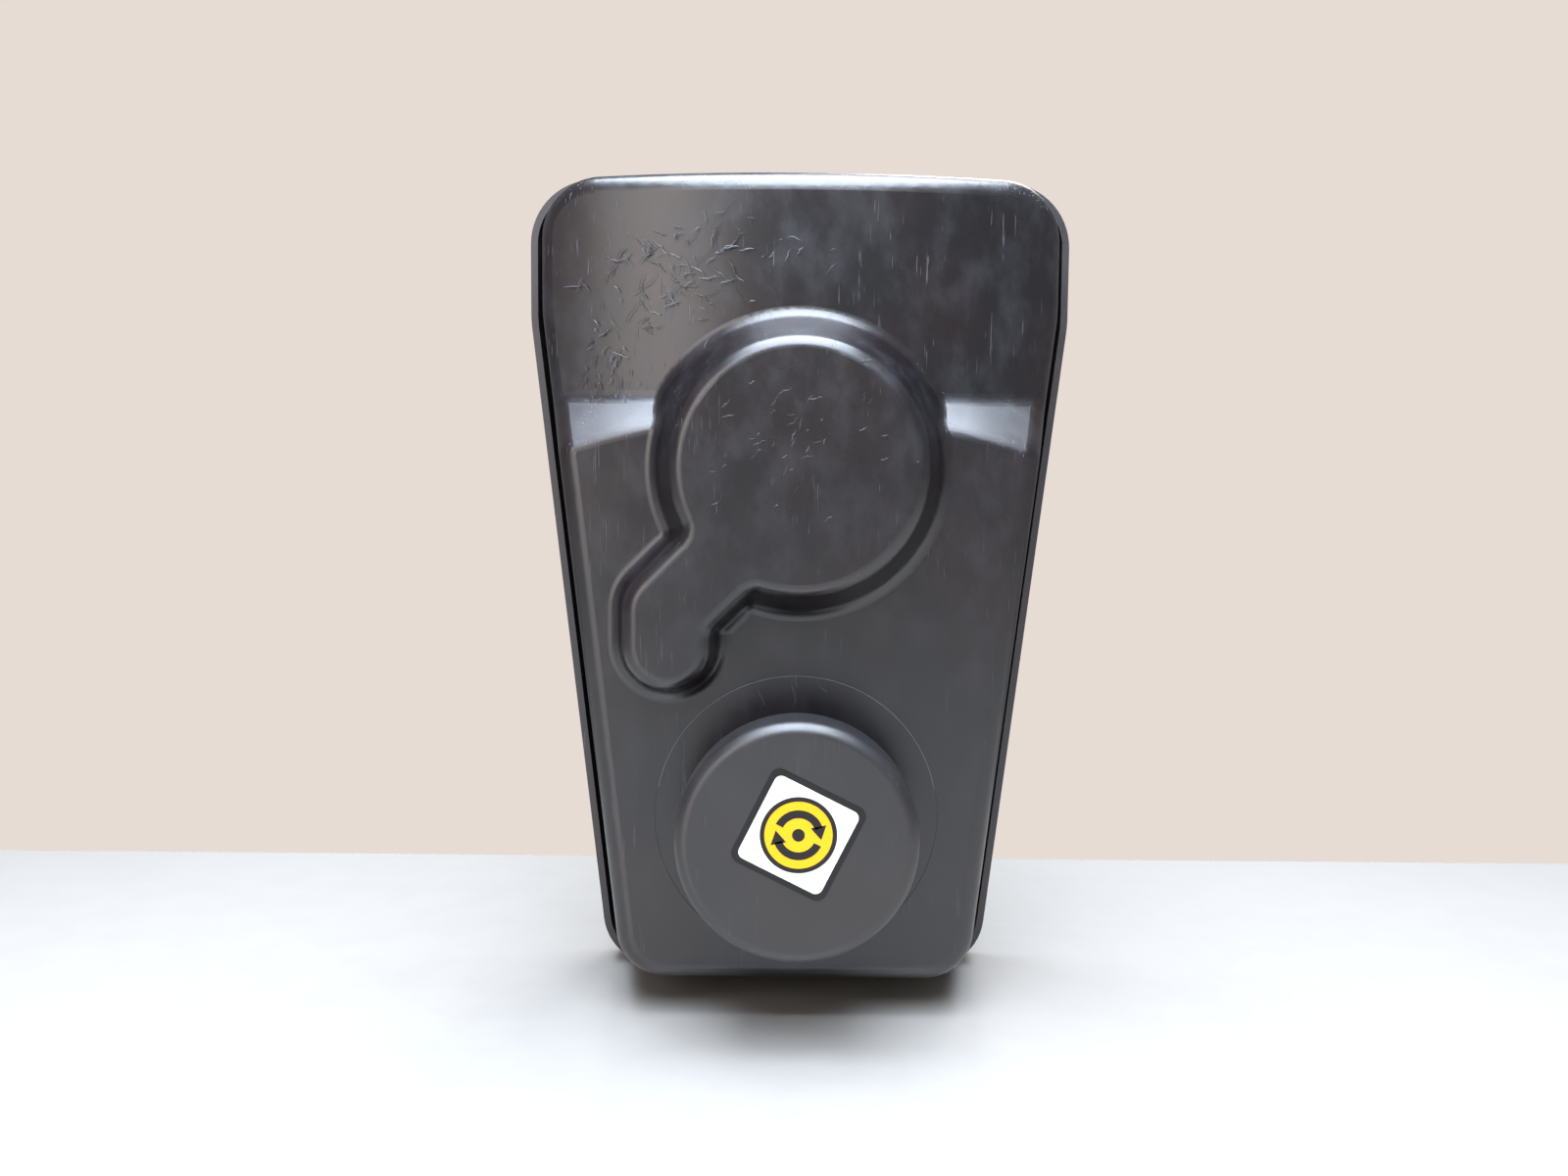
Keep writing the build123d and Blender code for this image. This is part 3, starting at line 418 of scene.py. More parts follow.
@dataclass(frozen=True)
class WoundWire:
    """Enamelled copper wire laid side by side: narrow rounded turns with a varnished gloss and painted
    shading.

    Attributes:
        name: The material's name.
        wire_mm: The wire's diameter.
    """

    name: str
    wire_mm: float = 0.9

    def build(self) -> bpy.types.Material:
        """Make the material."""
        material, tree, place = start_material(self.name)
        turns = add_node(tree, "ShaderNodeTexWave", {"wave_type": "RINGS", "rings_direction": "Y"}, {
            "Vector": place, "Scale": 0.314 / (self.wire_mm * MM), "Distortion": 1.5, "Detail": 2.0})
        bump = add_node(tree, "ShaderNodeBump", inputs={
            "Strength": 0.8, "Distance": 0.0004, "Height": turns.outputs["Fac"]})
        # colour runs from dark brown in the grooves to bright copper on each turn's crown: painted shade and
        # painted highlight
        close_material(tree, {
            "Base Color": blend_colours(tree, turns.outputs["Fac"], linear("5a2412"), linear("c46f3c")),
            "Metallic": 0.7, "Roughness": ramp(tree, turns.outputs["Fac"], 0.0, 1.0, 0.5, 0.25),
            "Normal": bump.outputs["Normal"]})
        return material


@dataclass(frozen=True)
class PrintedVinyl:
    """Ink on calendered vinyl film: flat colour with a slight orange peel and dusty rub.

    Attributes:
        name: The material's name.
        ink: The ink's colour.
        rub: The colour where dust sits.
        gloss: The roughness.
    """

    name: str
    ink: str
    rub: str
    gloss: float = 0.3

    def build(self) -> bpy.types.Material:
        """Make the material."""
        material, tree, place = start_material(self.name)
        dust = ramp(tree, noise(tree, place, 0.006, 5.0), 0.55, 0.8, 0.0, 0.35)
        peel = noise(tree, place, 0.0012, 1.0)
        bump = add_node(tree, "ShaderNodeBump", inputs={
            "Strength": 0.25, "Distance": 0.00003, "Height": peel})
        close_material(tree, {
            "Base Color": blend_colours(tree, dust, linear(self.ink), linear(self.rub)),
            "Roughness": ramp(tree, dust, 0.0, 0.35, self.gloss, self.gloss + 0.2), "IOR": 1.5,
            "Normal": bump.outputs["Normal"]})
        return material


@dataclass(frozen=True)
class ClearMoulding:
    """Clear glass or tinted lens plastic: it passes light, with a faint waviness.

    Attributes:
        name: The material's name.
        tint: The colour of what shines through.
        ior: The index of refraction.
    """

    name: str
    tint: str
    ior: float = 1.5

    def build(self) -> bpy.types.Material:
        """Make the material."""
        material, tree, place = start_material(self.name)
        drift = ramp(tree, noise(tree, place, 0.004, 2.0), 0.4, 0.7)
        bump = add_node(tree, "ShaderNodeBump", inputs={
            "Strength": 0.1, "Distance": 0.00005, "Height": noise(tree, place, 0.002, 1.0)})
        close_material(tree, {
            "Base Color": blend_colours(tree, drift, linear(self.tint), linear("ffffff")),
            "Roughness": ramp(tree, drift, 0.0, 1.0, 0.04, 0.1), "IOR": self.ior,
            "Transmission Weight": 0.8, "Normal": bump.outputs["Normal"]})
        return material


@dataclass(frozen=True)
class CircuitLaminate:
    """Glass-fibre board under green solder mask: copper tracks show as paler green lines.

    Attributes:
        name: The material's name.
        track_mm: The spacing of the tracks.
    """

    name: str
    track_mm: float = 2.5

    def build(self) -> bpy.types.Material:
        """Make the material."""
        material, tree, place = start_material(self.name)
        squared = add_node(tree, "ShaderNodeMapping", inputs={
            "Vector": place, "Scale": (1 / (self.track_mm * MM),) * 3})
        brick = add_node(tree, "ShaderNodeTexBrick", {"offset": 0.37, "squash": 2.0}, {
            "Vector": squared.outputs["Vector"], "Scale": 0.6, "Mortar Size": 0.07,
            "Color1": linear("0f4a28"), "Color2": linear("0c3f22"), "Mortar": linear("2f7a45")})
        bump = add_node(tree, "ShaderNodeBump", inputs={
            "Strength": 0.4, "Distance": 0.00005, "Height": brick.outputs["Fac"]})
        close_material(tree, {
            "Base Color": brick.outputs["Color"],
            "Roughness": ramp(tree, noise(tree, place, 0.01, 2.0), 0.3, 0.7, 0.2, 0.35), "IOR": 1.55,
            "Normal": bump.outputs["Normal"]})
        return material


FINISHES: dict[str, object] = {
    # the casing grows paler towards the top: painted overhead sheen together with wear
    "casing_black": ScuffedPolyethylene("scuffed black polyethylene", wear=0.35, upper_sheen_and_wear=0.65),
    "tray_black": ScuffedPolyethylene("sawn black polyethylene", base="252224", warm="2b2222",
                                      rubbed="4a4244", gloss=0.42, wear=0.6, wave_mm=0.2),
    "wheel_black": ScuffedPolyethylene("turned black nylon", base="1c1b1d", warm="211c1c",
                                       rubbed="45434a", gloss=0.4, wear=0.25, wave_mm=0.05),
    "label_vinyl": PrintedVinyl("black printed vinyl", "141214", "2a2829"),
    "rubber_black": MouldedPlastic("moulded black rubber", "1c1c1c", "262525", 0.7, 0.8, 0.06, 1.52),
    "zinc_plate": WorkedMetal("zinc plated sheet steel", "a7abb0", "8d8b80", 0.32, Grain.ROLLED, 0.5, 18),
    "screw_steel": WorkedMetal("zinc plated screw steel", "9c9ea2", "76746c", 0.3, Grain.TURNED, 0.3, 4),
    "bright_steel": WorkedMetal("turned bright steel", "a0a1a5", "7f7f80", 0.22, Grain.TURNED, 0.4, 10),
    "gear_steel": WorkedMetal("hobbed oiled steel", "75777b", "4a443b", 0.28, Grain.TURNED, 0.5, 8),
    "bronze": WorkedMetal("sintered bronze", "b07f4a", "7a5632", 0.42, Grain.CAST, 0.5, 5),
    "gear_nylon": MouldedPlastic("natural nylon", "ddd8c6", "cfc7ae", 0.38, 0.7, 0.03, 1.53),
    "motor_cast": WorkedMetal("die cast aluminium", "9fa1a3", "85868a", 0.45, Grain.CAST, 0.8, 9),
    "motor_paint": MouldedPlastic("baked black enamel", "1a1c1e", "232527", 0.25, 1.2, 0.03, 1.52),
    "lamination": StackedSheet("varnished electrical sheet"),
    "copper": WoundWire("enamelled copper wire"),
    "capacitor_can": MouldedPlastic("grey polypropylene can", "b9bbbe", "a9abad", 0.3, 1.0, 0.02, 1.49),
    "board_green": CircuitLaminate("green circuit laminate"),
    "black_nylon": MouldedPlastic("black glass filled nylon", "1b1b1c", "262627", 0.5, 0.5, 0.05, 1.53),
    "relay_blue": MouldedPlastic("blue relay housing", "1d3f7a", "23498a", 0.3, 0.9, 0.02, 1.55),
    "terminal_green": MouldedPlastic("green terminal housing", "23703a", "2b7d44", 0.4, 0.6, 0.03, 1.55),
    "fuse_glass": ClearMoulding("clear fuse glass", "e6eeee", 1.51),
    "button_red": MouldedPlastic("red moulded cap", "a5201a", "b22d22", 0.3, 0.4, 0.02, 1.49),
    "lamp_lens": ClearMoulding("green lamp lens", "2fb04a", 1.49),
    "lead_brown": MouldedPlastic("brown wire insulation", "4a2714", "573019", 0.4, 0.5, 0.02, 1.52),
}


# ---------------------------------------------------------------- making meshes
def start_object(name: str, add: object, **settings: object) -> bpy.types.Object:
    """Add a primitive with everything else deselected.

    Args:
        name: The new object's name.
        add: The primitive's operator.
        **settings: The operator's settings.

    Returns:
        The new object.
    """
    bpy.ops.object.select_all(action="DESELECT")
    add(**settings)
    made = bpy.context.active_object
    made.name = name
    made.data.name = name
    return made


def settle(piece: bpy.types.Object) -> None:
    """Apply a piece's place to its mesh, so that its object sits at the origin."""
    bpy.ops.object.select_all(action="DESELECT")
    piece.select_set(True)
    bpy.context.view_layer.objects.active = piece
    bpy.ops.object.transform_apply(location=True, rotation=True, scale=True)


def tidy(piece: bpy.types.Object, merge: float = 1e-6) -> None:
    """Merge doubles and point the faces outwards.

    Args:
        piece: The finished mesh.
        merge: The distance within which points become one, in metres.
    """
    bpy.ops.object.select_all(action="DESELECT")
    piece.select_set(True)
    bpy.context.view_layer.objects.active = piece
    bpy.ops.object.mode_set(mode="EDIT")
    bpy.ops.mesh.select_all(action="SELECT")
    bpy.ops.mesh.remove_doubles(threshold=merge)
    bpy.ops.mesh.normals_make_consistent(inside=False)
    bpy.ops.object.mode_set(mode="OBJECT")


def finish_piece(piece: bpy.types.Object, body: str, material: bpy.types.Material) -> None:
    """Dress a piece and let it ride.

    Args:
        piece: The finished mesh.
        body: The CAD body it moves with.
        material: Its finish.
    """
    piece.data.materials.clear()
    piece.data.materials.append(material)
    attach(piece, body)
    log.info("piece %s on %s", piece.name, body)


# ---------------------------------------------------------------- the sign on the hand wheel
@dataclass
class TurnSign:
    """The printed square on the hand wheel: white field, yellow disc and a turning sign.

    Attributes:
        face: The middle of the label's front, in metres.
        tilt: How far the label is turned, in degrees; negative is clockwise.
        field_side: The white field's side.
        field_corner: The radius of its corners.
        disc_radius: The yellow disc's radius.
        ring_width: The width of the black ring round it.
        arrow_radius: The radius that the two arrows run on.
        arrow_width: The width of an arrow's shaft.
        hub_radius: The radius of the black hub in the middle.
        film: The thickness of one printed layer.
    """

    face: Vector
    tilt: float = -26.5
    field_side: float = 0.0349
    field_corner: float = 0.0028
    disc_radius: float = 0.0138
    ring_width: float = 0.0017
    arrow_radius: float = 0.0080
    arrow_width: float = 0.0030
    hub_radius: float = 0.0024
    film: float = 0.00006

    def place(self, layer: int) -> Matrix:
        """Where a layer's own X and Y plane lies.

        Args:
            layer: One for the lowest layer.

        Returns:
            The place as a matrix.
        """
        lifted = self.face + Vector((0, -layer * self.film * 1.5, 0))
        upright = Matrix.Rotation(math.pi / 2, 4, "X")
        return Matrix.Translation(lifted) @ upright @ Matrix.Rotation(math.radians(self.tilt), 4, "Z")

    def print_layer(self, piece: bpy.types.Object, layer: int,
                    material: bpy.types.Material) -> None:
        """Give a flat outline its thickness, put it on the label and dress it.

        Args:
            piece: The flat outline, in its own X and Y plane.
            layer: Which layer it is, from one.
            material: Its finish.
        """
        bpy.ops.object.select_all(action="DESELECT")
        piece.select_set(True)
        bpy.context.view_layer.objects.active = piece
        bpy.ops.object.mode_set(mode="EDIT")
        bpy.ops.mesh.select_all(action="SELECT")
        bpy.ops.mesh.extrude_region_move(TRANSFORM_OT_translate={"value": (0, 0, self.film)})
        bpy.ops.object.mode_set(mode="OBJECT")
        piece.matrix_world = self.place(layer)
        settle(piece)
        tidy(piece)
        finish_piece(piece, "hand", material)

    def field(self) -> bpy.types.Object:
        """The white square with rounded corners."""
        piece = start_object("sign_field", bpy.ops.mesh.primitive_plane_add, size=self.field_side)
        bpy.ops.object.mode_set(mode="EDIT")
        bpy.ops.mesh.select_all(action="SELECT")
        bpy.ops.mesh.bevel(offset=self.field_corner, segments=8, affect="VERTICES")
        bpy.ops.object.mode_set(mode="OBJECT")
        return piece

    def round_layer(self, name: str, radius: float, width: float = 0.0) -> bpy.types.Object:
        """A disc, or a ring when it has a width.

        Args:
            name: The piece's name.
            radius: The outer radius.
            width: The ring's width, or zero for a disc.

        Returns:
            The flat outline.
        """
        piece = start_object(name, bpy.ops.mesh.primitive_circle_add, vertices=96, radius=radius,
                             fill_type="NGON")
        bpy.ops.object.mode_set(mode="EDIT")
        bpy.ops.mesh.select_all(action="SELECT")
        if width:
            bpy.ops.mesh.inset(thickness=width)
            bpy.ops.mesh.delete(type="FACE")
        bpy.ops.object.mode_set(mode="OBJECT")
        return piece

    def arrows(self) -> bpy.types.Object:
        """Two curved arrows that chase each other round the hub, which say that the wheel turns."""
        outer = self.arrow_radius + self.arrow_width / 2
        piece = self.round_layer("sign_arrows", outer, self.arrow_width)
        mesh = bmesh.new()
        mesh.from_mesh(piece.data)
        gaps = [f for f in mesh.faces if self.in_gap(f.calc_center_median())]
        bmesh.ops.delete(mesh, geom=gaps, context="FACES")
        mesh.to_mesh(piece.data)
        mesh.free()
        heads = []
        for start in (48.0, 228.0):
            angle = math.radians(start - 10)
            spot = (self.arrow_radius * math.cos(angle), self.arrow_radius * math.sin(angle), 0)
            head = start_object("head", bpy.ops.mesh.primitive_circle_add, vertices=3,
                                radius=self.arrow_width * 1.15, fill_type="NGON", location=spot,
                                rotation=(0, 0, angle + math.pi))
            settle(head)
            heads.append(head)
        bpy.ops.object.select_all(action="DESELECT")
        for head in heads:
            head.select_set(True)
        piece.select_set(True)
        bpy.context.view_layer.objects.active = piece
        bpy.ops.object.join()
        return piece

    def in_gap(self, spot: Vector) -> bool:
        """Whether a place on the arrows' circle lies in one of the two gaps."""
        turn = math.degrees(math.atan2(spot.y, spot.x)) % 180
        return turn < 46

    def build(self) -> None:
        """Print all five layers."""
        white = PrintedVinyl("white printed vinyl", "f1eff1", "d2cdcb").build()
        yellow = PrintedVinyl("yellow printed vinyl", "f7b80c", "eaa90e", 0.26).build()
        black = PrintedVinyl("black printing ink", "171310", "2b2724").build()
        self.print_layer(self.field(), 1, white)
        self.print_layer(self.round_layer("sign_disc", self.disc_radius), 2, yellow)
        ring = self.round_layer("sign_ring", self.disc_radius + self.ring_width * 0.4, self.ring_width)
        self.print_layer(ring, 3, black)
        self.print_layer(self.arrows(), 3, black)
        self.print_layer(self.round_layer("sign_hub", self.hub_radius), 3, black)


# ---------------------------------------------------------------- marks of use on the casing
@dataclass(frozen=True)
class Mark:
    """One scored line: where it starts and ends on the cover, in metres, and its width."""

    start: tuple[float, float]
    end: tuple[float, float]
    width: float


@dataclass(frozen=True)
class Patch:
    """A place on the cover where scores gather.

    Attributes:
        count: How many scores it has.
        middle: Its x and height in the row frame.
        spread: How far the scores lie from it, as one deviation across and up.
        lengths: The shortest and the longest score.
        headings: The range of their directions in degrees.
    """

    count: int
    middle: tuple[float, float]
    spread: tuple[float, float]
    lengths: tuple[float, float]
    headings: tuple[float, float]


PALE_ON_CROWN = (
    Patch(44, (-0.058, 0.148), (0.017, 0.012), (0.002, 0.009), (-70, 90)),
    Patch(18, (-0.012, 0.156), (0.020, 0.010), (0.001, 0.007), (-30, 70)),
    Patch(24, (-0.080, 0.112), (0.006, 0.014), (0.001, 0.005), (40, 120)),
)
PALE_ON_DOME = (Patch(16, (-0.012, 0.083), (0.016, 0.016), (0.001, 0.005), (10, 70)),)
DARK_ON_CROWN = (
    Patch(46, (-0.055, 0.147), (0.016, 0.011), (0.003, 0.013), (-70, 90)),
    Patch(26, (-0.080, 0.110), (0.006, 0.014), (0.002, 0.007), (40, 120)),
)
DARK_ON_DOME = (Patch(30, (-0.010, 0.083), (0.018, 0.016), (0.002, 0.007), (0, 80)),)
CRACKS = (
    Mark((-0.0165, -0.0158), (-0.0128, -0.0258), 0.0006),
    Mark((-0.0012, -0.0130), (-0.0012, -0.0262), 0.0007),
    Mark((0.0070, -0.0140), (0.0127, -0.0222), 0.0005),
)


@dataclass
class UseMarks:
    """Slivers laid on the cover as pale and dark scores, and the line round the hand wheel.

    Attributes:
        crown_radius: The radius of the cover's crowned upper part.
        crown_face: How far forward the crown's scores lie at its middle, 2 mm off its surface.
        lower_face: How far forward the flat lower part stands.
        dome_face: How far forward the dome stands.
        lift: How far a sliver's ridge stands proud of where it lies.
        widths: The narrowest and the widest scattered score.
        bend: How far a sliver strays to each side, as a share of its length.
        tip: What is left of a sliver's width at its ends, as a share.
        witness_radius: The radius of the fine line round the hand wheel's axis.
        witness_width: The width of that line.
        witness_start: How far above the axis it starts, as a share of its radius.
        seed: Fixes where the scores lie.
    """

    crown_radius: float = 0.300
    crown_face: float = 0.079
    lower_face: float = 0.082
    dome_face: float = 0.100
    lift: float = 0.00006
    widths: tuple[float, float] = (0.0002, 0.0006)
    bend: float = 0.09
    tip: float = 0.06
    witness_radius: float = 0.0573
    witness_width: float = 0.0003
    witness_start: float = 0.2
    seed: int = 7

    def crown(self, x: float) -> float:
        """How far forward the crown's scores lie at a place across it."""
        return self.crown_face - (self.crown_radius - math.sqrt(self.crown_radius ** 2 - x * x))

    def sliver(self, mark: Mark, forward: object, chance: random.Random) -> bpy.types.Object:
        """A thin raised edge, tapered to both ends and slightly bent.

        Args:
            mark: Where it lies.
            forward: A function of x that gives how far forward the sliver lies.
            chance: The source of its small bends.

        Returns:
            The sliver as its own object.
        """
        (x0, z0), (x1, z1) = mark.start, mark.end
        length = math.hypot(x1 - x0, z1 - z0)
        piece = start_object("sliver", bpy.ops.mesh.primitive_plane_add, size=1.0)
        bpy.ops.object.mode_set(mode="EDIT")
        bpy.ops.mesh.select_all(action="SELECT")
        bpy.ops.mesh.subdivide(number_cuts=3)
        bpy.ops.object.mode_set(mode="OBJECT")
        bends = [chance.uniform(-self.bend, self.bend) * length for _ in range(5)]
        heading = math.atan2(z1 - z0, x1 - x0)
        for vertex in piece.data.vertices:
            along = vertex.co.x + 0.5
            thin = max(self.tip, math.sin(math.pi * along)) * mark.width
            side = vertex.co.y * thin + bends[round(along * 4)]
            reach = along * length
            x = x0 + reach * math.cos(heading) - side * math.sin(heading)
            z = z0 + reach * math.sin(heading) + side * math.cos(heading)
            ridge = self.lift * (1.0 if abs(vertex.co.y) < 0.3 else 0.1)
            vertex.co = (x, -(forward(x) + ridge), z)
        return piece

    def join(self, pieces: list[bpy.types.Object], name: str) -> bpy.types.Object:
        """Join separate slivers into one piece.

        Args:
            pieces: The slivers.
            name: The joined piece's name.

        Returns:
            The joined piece.
        """
        bpy.ops.object.select_all(action="DESELECT")
        for piece in pieces:
            piece.select_set(True)
        bpy.context.view_layer.objects.active = pieces[0]
        bpy.ops.object.join()
        joined = bpy.context.active_object
        joined.name = name
        joined.data.name = name
        return joined

    def scattered(self, patches: tuple[Patch, ...], forward: object,
                  chance: random.Random) -> list[bpy.types.Object]:
        """Slivers scattered over some patches.

        Args:
            patches: The patches, in the order they are made.
            forward: A function of x that gives how far forward the slivers lie.
            chance: The source of their places.

        Returns:
            The slivers.
        """
        made = []
        for patch in patches:
            for _ in range(patch.count):
                x = chance.gauss(patch.middle[0], patch.spread[0])
                z = chance.gauss(patch.middle[1], patch.spread[1])
                turn = math.radians(chance.uniform(*patch.headings))
                length = chance.uniform(*patch.lengths)
                end = (x + length * math.cos(turn), z + length * math.sin(turn))
                mark = Mark((x, z), end, chance.uniform(*self.widths))
                made.append(self.sliver(mark, forward, chance))
        return made

    def witness_line(self) -> bpy.types.Object:
        """The fine raised line over the hand wheel, left by the joint of the mould's insert."""
        low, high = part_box("hand_wheel")
        place = ((low[0] + high[0]) / 2, -self.lower_face + self.lift, (low[2] + high[2]) / 2)
        piece = start_object("witness_line", bpy.ops.mesh.primitive_circle_add, vertices=128,
                             radius=self.witness_radius, fill_type="NGON", location=place,
                             rotation=(math.pi / 2, 0, 0))
        bpy.ops.object.mode_set(mode="EDIT")
        bpy.ops.mesh.select_all(action="SELECT")
        bpy.ops.mesh.inset(thickness=self.witness_width)
        bpy.ops.mesh.delete(type="FACE")
        bpy.ops.object.mode_set(mode="OBJECT")
        settle(piece)
        mesh = bmesh.new()
        mesh.from_mesh(piece.data)
        start = place[2] + self.witness_radius * self.witness_start
        hidden = [f for f in mesh.faces if f.calc_center_median().z < start]
        bmesh.ops.delete(mesh, geom=hidden, context="FACES")
        mesh.to_mesh(piece.data)
        mesh.free()
        bpy.ops.object.mode_set(mode="EDIT")
        bpy.ops.mesh.select_all(action="SELECT")
        bpy.ops.mesh.extrude_region_move(TRANSFORM_OT_translate={"value": (0, -self.lift * 2, 0)})
        bpy.ops.object.mode_set(mode="OBJECT")
        tidy(piece)
        return piece

    def build(self) -> None:
        """Make the pale and dark scores, the line round the hand wheel and the cracks."""
        chance = random.Random(self.seed)
        pale = ScuffedPolyethylene("torn edge of polyethylene", base="4a4c52", warm="444344",
                                   rubbed="70747a", gloss=0.4, wear=0.8, wave_mm=0.02).build()
        dark = ScuffedPolyethylene("cracked polyethylene", base="151415", warm="191515",
                                   rubbed="3a393c", gloss=0.5, wear=0.4, wave_mm=0.02).build()

        def flat(_: float) -> float:
            """The lower face, which is flat."""
            return self.lower_face

        def dome(_: float) -> float:
            """The dome's face, which is flat."""
            return self.dome_face

        edges = self.scattered(PALE_ON_CROWN, self.crown, chance)
        edges += self.scattered(PALE_ON_DOME, dome, chance)
        finish_piece(self.join(edges, "score_edges"), "casing", pale)
        cuts = self.scattered(DARK_ON_CROWN, self.crown, chance)
        cuts += self.scattered(DARK_ON_DOME, dome, chance)
        finish_piece(self.join(cuts, "score_cuts"), "casing", dark)
        finish_piece(self.witness_line(), "casing", pale)
        cracks = [self.sliver(mark, flat, chance) for mark in CRACKS]
        finish_piece(self.join(cracks, "cover_cracks"), "casing", dark)


@dataclass
class RimBurrs:
    """Small torn burrs left by the saw along the outer edge of the tray's rim.

    Attributes:
        count: How many burrs each side has.
        rim: How far forward the rim's edge stands.
        taper: How much the tray's half width shrinks per metre down, below its knee.
        knee_height: How high the knee is above the tray's bottom.
        reach: The lowest and the highest burr, above the tray's bottom.
        seed: Fixes where they sit.
    """

    count: int = 16
    rim: float = 0.0196
    taper: float = 0.1173
    knee_height: float = 0.289
    reach: tuple[float, float] = (0.040, 0.270)
    seed: int = 3

    def edge(self, z: float) -> float:
        """The tray's half width at a height in the row frame, below its knee."""
        low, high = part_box("back_tray")
        knee = low[2] + self.knee_height
        return high[0] - self.taper * max(0.0, knee - z)

    def burr(self, side: int, z: float, chance: random.Random) -> bpy.types.Object:
        """One flattened chip of plastic.

        Args:
            side: Minus one for the left and one for the right.
            z: Its height in the row frame.
            chance: The source of its size.

        Returns:
            The burr as its own object.
        """
        length = chance.uniform(0.0006, 0.0022)
        spot = (side * (self.edge(z) - 0.0003), -self.rim + chance.uniform(-0.0004, 0.0012), z)
        piece = start_object("burr", bpy.ops.mesh.primitive_cone_add, vertices=6, radius1=0.0005,
                             radius2=0.0001, depth=length, location=spot,
                             rotation=(chance.uniform(-0.5, 0.5), side * chance.uniform(0.3, 0.9), 0),
                             scale=(0.8, 0.6, 1.0))
        bpy.ops.object.mode_set(mode="EDIT")
        bpy.ops.mesh.select_all(action="SELECT")
        bpy.ops.mesh.bevel(offset=0.0001, segments=2, affect="EDGES")
        bpy.ops.object.mode_set(mode="OBJECT")
        settle(piece)
        return piece

    def build(self, marks: UseMarks, material: bpy.types.Material) -> None:
        """Make the burrs of both sides.

        Args:
            marks: The maker of use marks, which joins them.
            material: The tray's finish.
        """
        chance = random.Random(self.seed)
        low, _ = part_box("back_tray")
        burrs = []
        for side in (-1, 1):
            for _ in range(self.count):
                z = low[2] + chance.uniform(*self.reach)
                burrs.append(self.burr(side, z, chance))
        piece = marks.join(burrs, "rim_burrs")
        tidy(piece, 1e-7)
        finish_piece(piece, "casing", material)


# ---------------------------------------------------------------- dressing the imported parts
@dataclass
class Dresser:
    """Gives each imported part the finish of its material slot.

    Attributes:
        made: The materials made so far, by slot.
    """

    made: dict[str, bpy.types.Material] = field(default_factory=dict)

    def material(self, slot: str) -> bpy.types.Material:
        """The finish of a slot, made once."""
        if slot not in self.made:
            self.made[slot] = FINISHES[slot].build()
        return self.made[slot]

    def dress_all(self) -> None:
        """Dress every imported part."""
        for entry in frame["record"]["subparts"]:
            part = frame["nodes"][entry["node"]]
            finish = self.material(entry["material_slot"])
            if not part.material_slots:
                part.data.materials.append(finish)
            for held in part.material_slots:
                held.material = finish
            log.info("dressed %s in %s", entry["node"], finish.name)


# ---------------------------------------------------------------- studio
@dataclass(frozen=True)
class Lamp:
    """One soft area light.

    Attributes:
        name: The light's name.
        place: Where it hangs.
        aim: What it points at.
        size: Its width and height.
        power: Its power in watts.
        hue: Its colour in hex.
    """

    name: str
    place: tuple[float, float, float]
    aim: tuple[float, float, float]
    size: tuple[float, float]
    power: float
    hue: str


LAMPS = (
    Lamp("ceiling", (0.0, -0.75, 1.25), (0.0, -0.75, 0.0), (1.0, 2.2), 112.0, "e2eeff"),
    Lamp("front", (-0.85, -1.6, 0.5), (0.0, 0.0, 0.05), (0.7, 1.2), 9.0, "fff4ee"),
    Lamp("rear", (0.5, 1.3, 1.3), (0.0, 0.0, 0.0), (0.8, 0.8), 16.0, "fff8f2"),
)


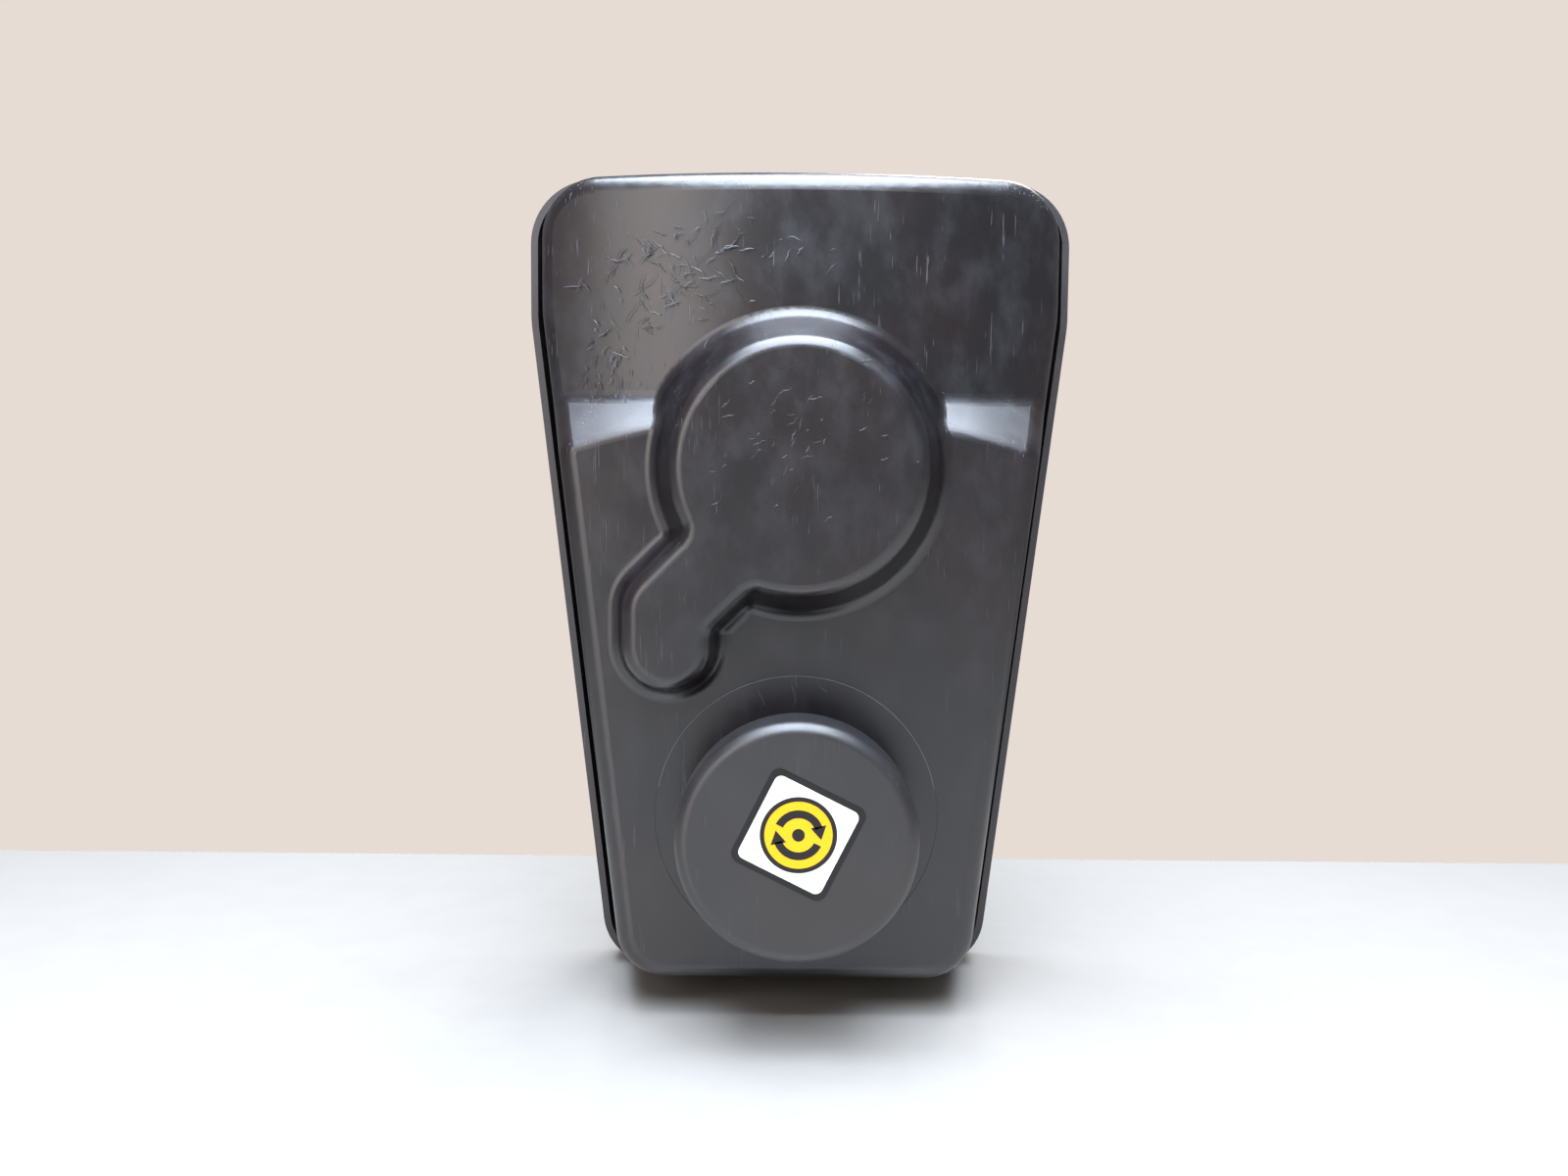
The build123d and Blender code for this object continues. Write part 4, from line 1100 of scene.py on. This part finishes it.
@dataclass
class Studio:
    """The pale table and room, the soft lights and the camera.

    Attributes:
        floor_z: The height of the table in the row frame.
        table_end: How far back the table top reaches.
        table_size: The table top's width and depth.
        room_light: The strength of the room's even light.
        eye: The camera's place.
        pitch: How far the camera looks down, in degrees.
        yaw: How far the camera looks to the left, in degrees.
        roll: How far the camera is turned anticlockwise, in degrees.
        lens_mm: The focal length on a 36 mm wide frame.
    """

    floor_z: float
    table_end: float = 0.160
    table_size: tuple[float, float] = (6.0, 4.0)
    room_light: float = 0.28
    eye: tuple[float, float, float] = (-0.0057, -0.645, 0.0695)
    pitch: float = 4.8
    yaw: float = 0.0
    roll: float = 0.5
    lens_mm: float = 32.33

    def table_top(self) -> None:
        """Model the table top, which ends behind the object, so that its back can be seen too."""
        laminate = MouldedPlastic(
            "satin laminate table", "aaa6a0", "a7a39d", 0.14, 3.0, 0.01, 1.5).build()
        width, depth = self.table_size
        top = start_object("table", bpy.ops.mesh.primitive_plane_add, size=1.0,
                           location=(0, self.table_end - depth / 2, self.floor_z))
        top.scale = (width, depth, 1.0)
        settle(top)
        top.data.materials.append(laminate)

    def room(self) -> None:
        """Set the room's soft light, and the pale background that is seen behind the table."""
        world = bpy.data.worlds.new("room")
        world.use_nodes = True
        tree = world.node_tree
        tree.nodes.clear()
        light = add_node(tree, "ShaderNodeBackground", inputs={
            "Color": linear("f2f1f4"), "Strength": self.room_light})
        seen = add_node(tree, "ShaderNodeBackground", inputs={
            "Color": linear("e6dcd4"), "Strength": 1.0})
        path = add_node(tree, "ShaderNodeLightPath")
        both = add_node(tree, "ShaderNodeMixShader", inputs={
            0: path.outputs["Is Camera Ray"], 1: light.outputs["Background"], 2: seen.outputs["Background"]})
        add_node(tree, "ShaderNodeOutputWorld", inputs={"Surface": both.outputs["Shader"]})
        bpy.context.scene.world = world
        bpy.context.scene.view_settings.view_transform = "Standard"

    def hang(self, lamp: Lamp) -> None:
        """Hang one light and turn it to what it points at."""
        light = bpy.data.lights.new(lamp.name, "AREA")
        light.shape = "RECTANGLE"
        light.size, light.size_y = lamp.size
        light.energy = lamp.power
        light.color = linear(lamp.hue)[:3]
        holder = bpy.data.objects.new(lamp.name, light)
        holder.location = lamp.place
        aim = Vector(lamp.aim) - Vector(lamp.place)
        holder.rotation_euler = aim.to_track_quat("-Z", "Y").to_euler()
        bpy.context.scene.collection.objects.link(holder)

    def camera(self) -> None:
        """Set up the camera at the height and distance of the viewer."""
        lens = bpy.data.cameras.new("viewer")
        lens.lens = self.lens_mm
        lens.sensor_width = 36.0
        lens.clip_start = 0.01
        viewer = bpy.data.objects.new("viewer", lens)
        level = Matrix.Rotation(math.radians(self.yaw), 4, "Z") @ Matrix.Rotation(
            math.radians(90 - self.pitch), 4, "X")
        turned = level @ Matrix.Rotation(math.radians(self.roll), 4, "Z")
        viewer.matrix_world = Matrix.Translation(self.eye) @ turned
        bpy.context.scene.collection.objects.link(viewer)
        bpy.context.scene.camera = viewer

    def build(self) -> None:
        """Set up the whole studio."""
        self.table_top()
        for lamp in LAMPS:
            self.hang(lamp)
        self.room()
        self.camera()


def main() -> None:
    """Build everything in order."""
    logging.basicConfig(level=logging.INFO, format="%(name)s: %(message)s")
    dresser = Dresser()
    dresser.dress_all()
    low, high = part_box("wheel_label")
    TurnSign(Vector(((low[0] + high[0]) / 2, low[1], (low[2] + high[2]) / 2))).build()
    marks = UseMarks()
    marks.build()
    RimBurrs().build(marks, dresser.material("tray_black"))
    Studio(floor_z=CAD_BOX[0][2]).build()


if __name__ == "__main__":
    main()
